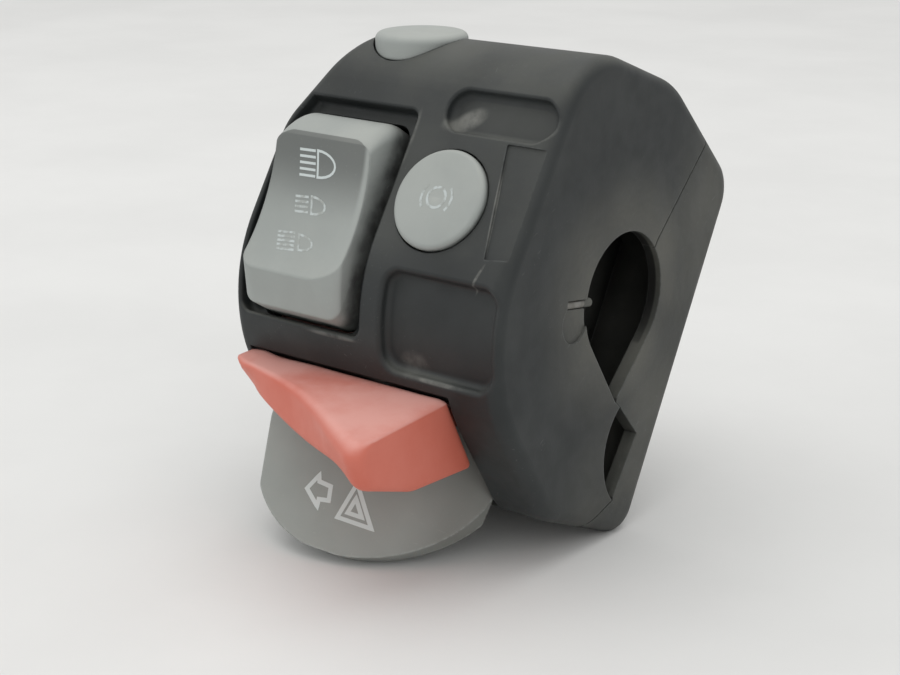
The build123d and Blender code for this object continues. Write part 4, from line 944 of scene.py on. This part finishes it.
@dataclass
class PrintedSymbol:
    """Symbol printed on a control: strokes laid on its surface, with all measures in millimetres.

    The lean moves a point to the left by that share of its height.
    """

    name: str
    node: str
    body: str
    ink: Ink
    centre: Point
    lean: float
    strokes: Sequence[Sequence[Point]]
    stroke_width: float
    lift: float = 0.025
    step: float = 0.35
    closing_gap: float = 0.01
    sharpest_mitre: float = 0.5
    drop_from: float = 60.0

    def build(self, frame: dict[str, Any], paints: Paints) -> bpy.types.Object:
        """Builds the print and lets it ride with its control.

        Args:
            frame: The loaded frame.
            paints: The materials.

        Returns:
            The print's object.
        """
        surface = BVHTree.FromObject(frame["nodes"][self.node], bpy.context.evaluated_depsgraph_get())
        mesh = bmesh.new()
        for stroke in self.strokes:
            self.lay_stroke(mesh, surface, stroke)
        bmesh.ops.recalc_face_normals(mesh, faces=mesh.faces)
        piece = link_mesh(self.name, mesh)
        paints.coat(piece, self.ink)
        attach(piece, self.body)
        return piece

    def lay_stroke(self, mesh: bmesh.types.BMesh, surface: BVHTree, stroke: Sequence[Point]) -> None:
        """Lays one stroke as a thin closed strip.

        Args:
            mesh: The mesh that takes the strip.
            surface: The control's surface.
            stroke: The stroke's middle line about the symbol's centre. A stroke that ends where it starts is
                closed, with no gap.
        """
        closed = (Vector(stroke[0]) - Vector(stroke[-1])).length < self.closing_gap
        middle = self.dense(stroke)
        if closed:
            middle = middle[:-1]
        rows = []
        for index, point in enumerate(middle):
            before = middle[index - 1] if index or closed else point
            after = middle[(index + 1) % len(middle)] if index + 1 < len(middle) or closed else point
            into = (point - before).normalized() if point != before else (after - point).normalized()
            outof = (after - point).normalized() if point != after else into
            way = (into + outof).normalized()
            side = Vector((-way.y, way.x))
            mitre = max(self.sharpest_mitre, side.dot(Vector((-into.y, into.x))))
            reach = self.stroke_width / 2 / mitre
            row = []
            for sign in (-1.0, 1.0):
                spot = self.drop(surface, point + side * reach * sign)
                outer = mesh.verts.new(spot + OUTWARD * self.lift * MM)
                inner = mesh.verts.new(spot - OUTWARD * self.lift * MM)
                row.append((outer, inner))
            rows.append(row)
        pairs = list(zip(rows, rows[1:]))
        if closed:
            pairs.append((rows[-1], rows[0]))
        for (left, right), (next_left, next_right) in pairs:
            mesh.faces.new((left[0], right[0], next_right[0], next_left[0]))
            mesh.faces.new((left[1], next_left[1], next_right[1], right[1]))
            mesh.faces.new((left[0], next_left[0], next_left[1], left[1]))
            mesh.faces.new((right[0], right[1], next_right[1], next_right[0]))
        if not closed:
            for left, right in (rows[0], rows[-1]):
                mesh.faces.new((left[0], left[1], right[1], right[0]))

    def dense(self, stroke: Sequence[Point]) -> list[Vector]:
        """Divides a stroke into short steps, so that it can follow a curved surface.

        Args:
            stroke: The stroke's corners.

        Returns:
            The points along it.
        """
        points = [Vector(stroke[0])]
        for start, end in zip(stroke, stroke[1:]):
            first, last = Vector(start), Vector(end)
            count = max(1, round((last - first).length / self.step))
            points.extend(first.lerp(last, (k + 1) / count) for k in range(count))
        return points

    def drop(self, surface: BVHTree, point: Vector) -> Vector:
        """Drops a point of the symbol straight onto the control's surface.

        Args:
            surface: The control's surface.
            point: Point about the symbol's centre.

        Returns:
            The point on the surface, in the row frame.
        """
        placed = Vector((point.x - self.lean * point.y, point.y)) + Vector(self.centre)
        start = face_point(placed.x * MM, self.drop_from * MM, placed.y * MM)
        spot = surface.ray_cast(start, -OUTWARD)[0]
        if spot is None:
            raise ValueError(f"{self.name} misses {self.node}")
        return spot


def arc(radius: float, start: int, end: int, step: int) -> list[Point]:
    """Points along an arc about the symbol's centre.

    Args:
        radius: The arc's radius in millimetres.
        start: Its first angle in degrees.
        end: Its last angle.
        step: Angle between the points.

    Returns:
        The points.
    """
    turns = [math.radians(turn) for turn in range(start, end + step, step)]
    return [(radius * math.cos(turn), radius * math.sin(turn)) for turn in turns]


def lamp_outline(width: float, height: float, left: float) -> list[Point]:
    """Outline of a headlamp: a straight back and a rounded front.

    Args:
        width: Width in millimetres.
        height: Height in millimetres.
        left: Place of the straight back.

    Returns:
        The closed outline.
    """
    bulge = [(left + width * x, height / 2 * y) for x, y in arc(1.0, 90, -90, -15)]
    return [(left, height / 2), *bulge[1:-1], (left, -height / 2), (left, height / 2)]


def beams(count: int, start: float, end: float, spacing: float, fall: float = 0.0) -> list[list[Point]]:
    """Light beams as level or falling strokes.

    Args:
        count: Number of beams.
        start: Left end of each beam.
        end: Right end of each beam.
        spacing: Distance between beams.
        fall: How much lower the left end is.

    Returns:
        The strokes.
    """
    heights = [(k - (count - 1) / 2) * spacing for k in range(count)]
    return [[(start, height - fall), (end, height)] for height in heights]


@dataclass
class Symbols:
    """All prints of the cluster, as plain pictograms."""

    rocker: str = "dip_rocker"
    button: str = "round_button"
    lever: str = "turn_lever"

    def build(self, frame: dict[str, Any], paints: Paints) -> None:
        """Builds every print.

        Args:
            frame: The loaded frame.
            paints: The materials.
        """
        for symbol in (*self.lamps(), *self.lever_marks(), self.brake_mark()):
            piece = symbol.build(frame, paints)
            LOG.info("print %s with %d faces", piece.name, len(piece.data.polygons))

    def lamps(self) -> list[PrintedSymbol]:
        """Draws the three lamp symbols on the rocker, from main beam down to flash.

        Returns:
            The three symbols.
        """
        main = [*beams(5, -4.2, -0.75, 0.98, 0.1), lamp_outline(3.7, 4.1, -0.25)]
        dipped = [*beams(4, -3.3, -0.4, 0.82, 0.2), lamp_outline(2.9, 2.8, 0.3)]
        flash = [*beams(5, -4.2, -0.4, 0.72, 0.3), lamp_outline(2.9, 2.6, 0.5)]
        rows = (
            ("print_main_beam", Ink.CLEAR, (-41.0, 3.2), 0.18, main),
            ("print_dipped_beam", Ink.FADED, (-41.0, -3.4), 0.3, dipped),
            ("print_flash", Ink.FADED, (-41.2, -9.8), 0.4, flash),
        )
        return [
            PrintedSymbol(name, self.rocker, self.rocker, ink, centre, lean, strokes, 0.4)
            for name, ink, centre, lean, strokes in rows
        ]

    def lever_marks(self) -> list[PrintedSymbol]:
        """Draws the turn arrow and the hazard triangle on the turn lever.

        Returns:
            The two symbols.
        """
        head = [(0.7, -2.5), (-2.3, -0.2), (-0.9, 2.5)]
        arrow = [*head[1:], (-0.5, 1.5), (1.8, 1.3), (2.3, -1.0), (0.5, -1.3), *head[:2]]
        triangle = [(-1.3, 4.7), (-2.6, -1.6), (3.3, -1.6), (-1.3, 4.7)]
        across, height, share = -0.2, 0.5, 0.42
        inner = [(across + (x - across) * share, height + (y - height) * share) for x, y in triangle]
        rows = (
            ("print_turn_arrow", (-35.5, -45.8), [arrow], 0.75),
            ("print_hazard", (-28.2, -47.3), [triangle, inner], 0.7),
        )
        return [
            PrintedSymbol(name, self.lever, self.lever, Ink.LEVER, centre, 0.0, strokes, width)
            for name, centre, strokes, width in rows
        ]

    def brake_mark(self) -> PrintedSymbol:
        """Draws a plain brake symbol on the round button: a ring between two brackets.

        Returns:
            The symbol.
        """
        centre, right = (-16.9, 1.7), arc(2.9, -40, 40, 10)
        strokes = [arc(1.7, 0, 360, 15), [(-x, y) for x, y in right], right]
        return PrintedSymbol("print_brake", self.button, self.button, Ink.FADED, centre, 0.0, strokes, 0.45)


@dataclass
class PegTip:
    """The end of the locating peg that reaches into the bore, where it finds the bar's hole."""

    node: str = "locating_peg"
    root: float = 0.3 * MM
    reach: float = 2.1 * MM
    radius: float = 0.75 * MM
    bevel: float = 0.2 * MM
    sides: int = 24

    def build(self, frame: dict[str, Any], paints: Paints) -> bpy.types.Object:
        """Builds the tip, in line with the peg.

        Args:
            frame: The loaded frame.
            paints: The materials.

        Returns:
            The tip's object.
        """
        points = [vertex.co for vertex in frame["nodes"][self.node].data.vertices]
        near = min(points, key=lambda point: math.hypot(point.y, point.z))
        inner = [point for point in points if abs(point.length - near.length) < self.radius]
        centre = sum(inner, Vector()) / len(inner)
        centre.x = sum(point.x for point in points) / len(points)
        way = -Vector((0.0, centre.y, centre.z)).normalized()
        side = way.cross(INBOARD)
        rings = (
            (-self.root, self.radius),
            (self.reach - self.bevel, self.radius),
            (self.reach, self.radius - self.bevel),
        )
        mesh = bmesh.new()
        loops = []
        for depth, radius in rings:
            loop = []
            for k in range(self.sides):
                turn = 2 * math.pi * k / self.sides
                rim = INBOARD * math.cos(turn) + side * math.sin(turn)
                loop.append(mesh.verts.new(centre + way * depth + rim * radius))
            loops.append(loop)
        for lower, upper in zip(loops, loops[1:]):
            for k in range(self.sides):
                after = (k + 1) % self.sides
                mesh.faces.new((lower[k], lower[after], upper[after], upper[k]))
        mesh.faces.new(loops[0])
        mesh.faces.new(loops[-1])
        bmesh.ops.recalc_face_normals(mesh, faces=mesh.faces)
        piece = link_mesh(f"{self.node}_tip", mesh)
        paints.coat(piece, Finish.HOUSING)
        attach(piece, "housing")
        return piece


@dataclass
class PressSpring:
    """A push button's coil spring, copied from its packed node.

    The way, the direction from the foot to the head, is not used.
    """

    node: str
    button: str
    way: Vector

    def build(self, frame: dict[str, Any], paints: Paints) -> bpy.types.Object:
        """Builds a copy of the spring in the spring finish and hides the packed node.

        Args:
            frame: The loaded frame.
            paints: The materials.

        Returns:
            The spring's object.
        """
        packed = frame["nodes"][self.node]
        piece = bpy.data.objects.new(f"{self.node}_coil", packed.data.copy())
        piece.matrix_world = packed.matrix_world.copy()
        bpy.context.scene.collection.objects.link(piece)
        paints.coat(piece, Finish.SPRING)
        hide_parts(self.node)
        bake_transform(piece)
        return piece


@dataclass
class Cluster:
    """The switch cluster's own nodes, dressed by the record's material slots."""

    frame: dict[str, Any]
    paints: Paints

    def dress(self) -> None:
        """Gives every node its finish and reports it."""
        finishes = {finish.value.name: finish for finish in Finish}
        for subpart in self.frame["record"]["subparts"]:
            node = self.frame["nodes"][subpart["node"]]
            self.paints.coat(node, finishes[subpart["material_slot"]])
            LOG.info("node %s in %s", subpart["node"], subpart["material_slot"])


@dataclass(frozen=True)
class SoftLamp:
    """Square lamp: where it hangs, the side of its square in metres and its power in watts."""

    name: str
    place: Place
    size: float
    watts: float
    aim: Place = (-0.028, -0.01, 0.0)

    def hang(self) -> None:
        """Hangs the lamp so that it points at the object."""
        data = bpy.data.lights.new(self.name, "AREA")
        data.shape = "SQUARE"
        data.size = self.size
        data.energy = self.watts
        lamp = bpy.data.objects.new(self.name, data)
        lamp.location = self.place
        way = Vector(self.aim) - Vector(self.place)
        lamp.rotation_euler = way.to_track_quat("-Z", "Y").to_euler()
        bpy.context.scene.collection.objects.link(lamp)


@dataclass
class Studio:
    """Table, lamps, sky and camera."""

    table_size: float = 4.0
    table_cuts: int = 8
    table_colour: Colour = srgb(226, 226, 224)
    table_shade: float = 0.955
    table_gloss: float = 0.15
    table_roughness: float = 0.9
    cloud_cells: float = 14.0
    crease_cells: float = 22.0
    crease_share: float = 0.12
    crease_depth: float = 3.0 * MM
    sky_colour: Colour = srgb(232, 232, 230)
    sky_light: float = 0.72
    lamps: tuple[SoftLamp, ...] = (
        SoftLamp("key_lamp", (-0.14, 0.02, 1.0), 1.2, 4.7),
        SoftLamp("side_lamp", (-0.60, -0.60, 0.35), 0.8, 0.9),
        SoftLamp("front_lamp", (0.80, -0.40, 0.50), 0.8, 1.0),
    )
    lens: float = 72.0
    sensor_width: float = 36.0
    clip_start: float = 0.01
    camera_place: Place = (0.15281, -0.23953, 0.08454)
    azimuth: float = math.radians(38.312)
    elevation: float = math.radians(16.696)
    frame_width: float = 900.0
    axis_height: float = 37.5

    def build(self, floor_height: float) -> None:
        """Builds the studio around the object.

        Args:
            floor_height: Height of the table's top.
        """
        self.table(floor_height)
        self.sky()
        for lamp in self.lamps:
            lamp.hang()
        self.camera()

    def table(self, height: float) -> None:
        """Lays the pale table top, faintly uneven like a cloth.

        Args:
            height: Height of the table's top.
        """
        mesh = bmesh.new()
        cuts = self.table_cuts
        bmesh.ops.create_grid(mesh, x_segments=cuts, y_segments=cuts, size=self.table_size / 2)
        top = link_mesh("table_top", mesh)
        top.location = RISING * height
        top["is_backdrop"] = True
        material, shader, surface = new_material("table_cloth")
        place = shader.place()
        cloud = shader.ramp(shader.noise(place, self.cloud_cells, 5.0, 0.55), *MOTTLE)
        shade = darker(self.table_colour, self.table_shade)
        shader.feed(surface.inputs["Base Color"], shader.blend(cloud, self.table_colour, shade))
        surface.inputs["Roughness"].default_value = self.table_roughness
        surface.inputs["Specular IOR Level"].default_value = self.table_gloss
        crease = shader.noise(place, self.crease_cells, 6.0, 0.6)
        shader.feed(surface.inputs["Normal"], shader.bump(crease, self.crease_share, self.crease_depth))
        top.data.materials.append(material)

    def sky(self) -> None:
        """Lights the scene evenly and shows a pale backdrop where the table ends."""
        world = bpy.data.worlds.new("pale_room")
        bpy.context.scene.world = world
        world.use_nodes = True
        shader = NodeTree(world.node_tree)
        ground = world.node_tree.nodes["Background"]
        ground.inputs["Color"].default_value = (1.0, 1.0, 1.0, 1.0)
        ground.inputs["Strength"].default_value = self.sky_light
        seen = shader.add("ShaderNodeBackground", {"Color": self.sky_colour, "Strength": 1.0})
        path = shader.add("ShaderNodeLightPath")
        either = shader.maths("MAXIMUM", path.outputs["Is Camera Ray"], path.outputs["Is Transmission Ray"])
        mix = shader.add("ShaderNodeMixShader", {0: either, 1: ground.outputs[0], 2: seen.outputs[0]})
        output = world.node_tree.nodes["World Output"]
        shader.feed(output.inputs["Surface"], mix.outputs[0])

    def camera(self) -> None:
        """Sets the camera at its measured place and angle, with the measured lens."""
        data = bpy.data.cameras.new("camera")
        data.sensor_fit = "HORIZONTAL"
        data.sensor_width = self.sensor_width
        data.lens = self.lens
        data.shift_y = -self.axis_height / self.frame_width
        data.clip_start = self.clip_start
        back = Vector((
            math.sin(self.azimuth) * math.cos(self.elevation),
            -math.cos(self.azimuth) * math.cos(self.elevation),
            math.sin(self.elevation),
        ))
        right = Vector((math.cos(self.azimuth), math.sin(self.azimuth), 0.0))
        turn = Matrix((right, back.cross(right), back)).transposed()
        camera = bpy.data.objects.new("camera", data)
        camera.matrix_world = Matrix.Translation(self.camera_place) @ turn.to_4x4()
        bpy.context.scene.collection.objects.link(camera)
        bpy.context.scene.camera = camera


def plain(corners: Iterable[Vector]) -> list[list[float]]:
    """Writes two corners as plain lists of numbers.

    Args:
        corners: The corners.

    Returns:
        The lists.
    """
    return [[float(part) for part in corner] for corner in corners]


def main() -> None:
    """Builds the scene: the dressed cluster, its prints, peg tip and button springs, and the studio."""
    logging.basicConfig(level=logging.INFO, format="%(name)s: %(message)s")
    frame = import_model()
    cad_box = plain(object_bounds())
    paints = Paints()
    Cluster(frame, paints).dress()
    Symbols().build(frame, paints)
    PegTip().build(frame, paints)
    PressSpring("round_button_spring", "round_button", OUTWARD).build(frame, paints)
    PressSpring("top_button_spring", "top_button", RISING).build(frame, paints)
    Studio().build(cad_box[0][2])
    bpy.context.scene.view_settings.view_transform = "Standard"
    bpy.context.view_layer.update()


if __name__ == "__main__":
    main()
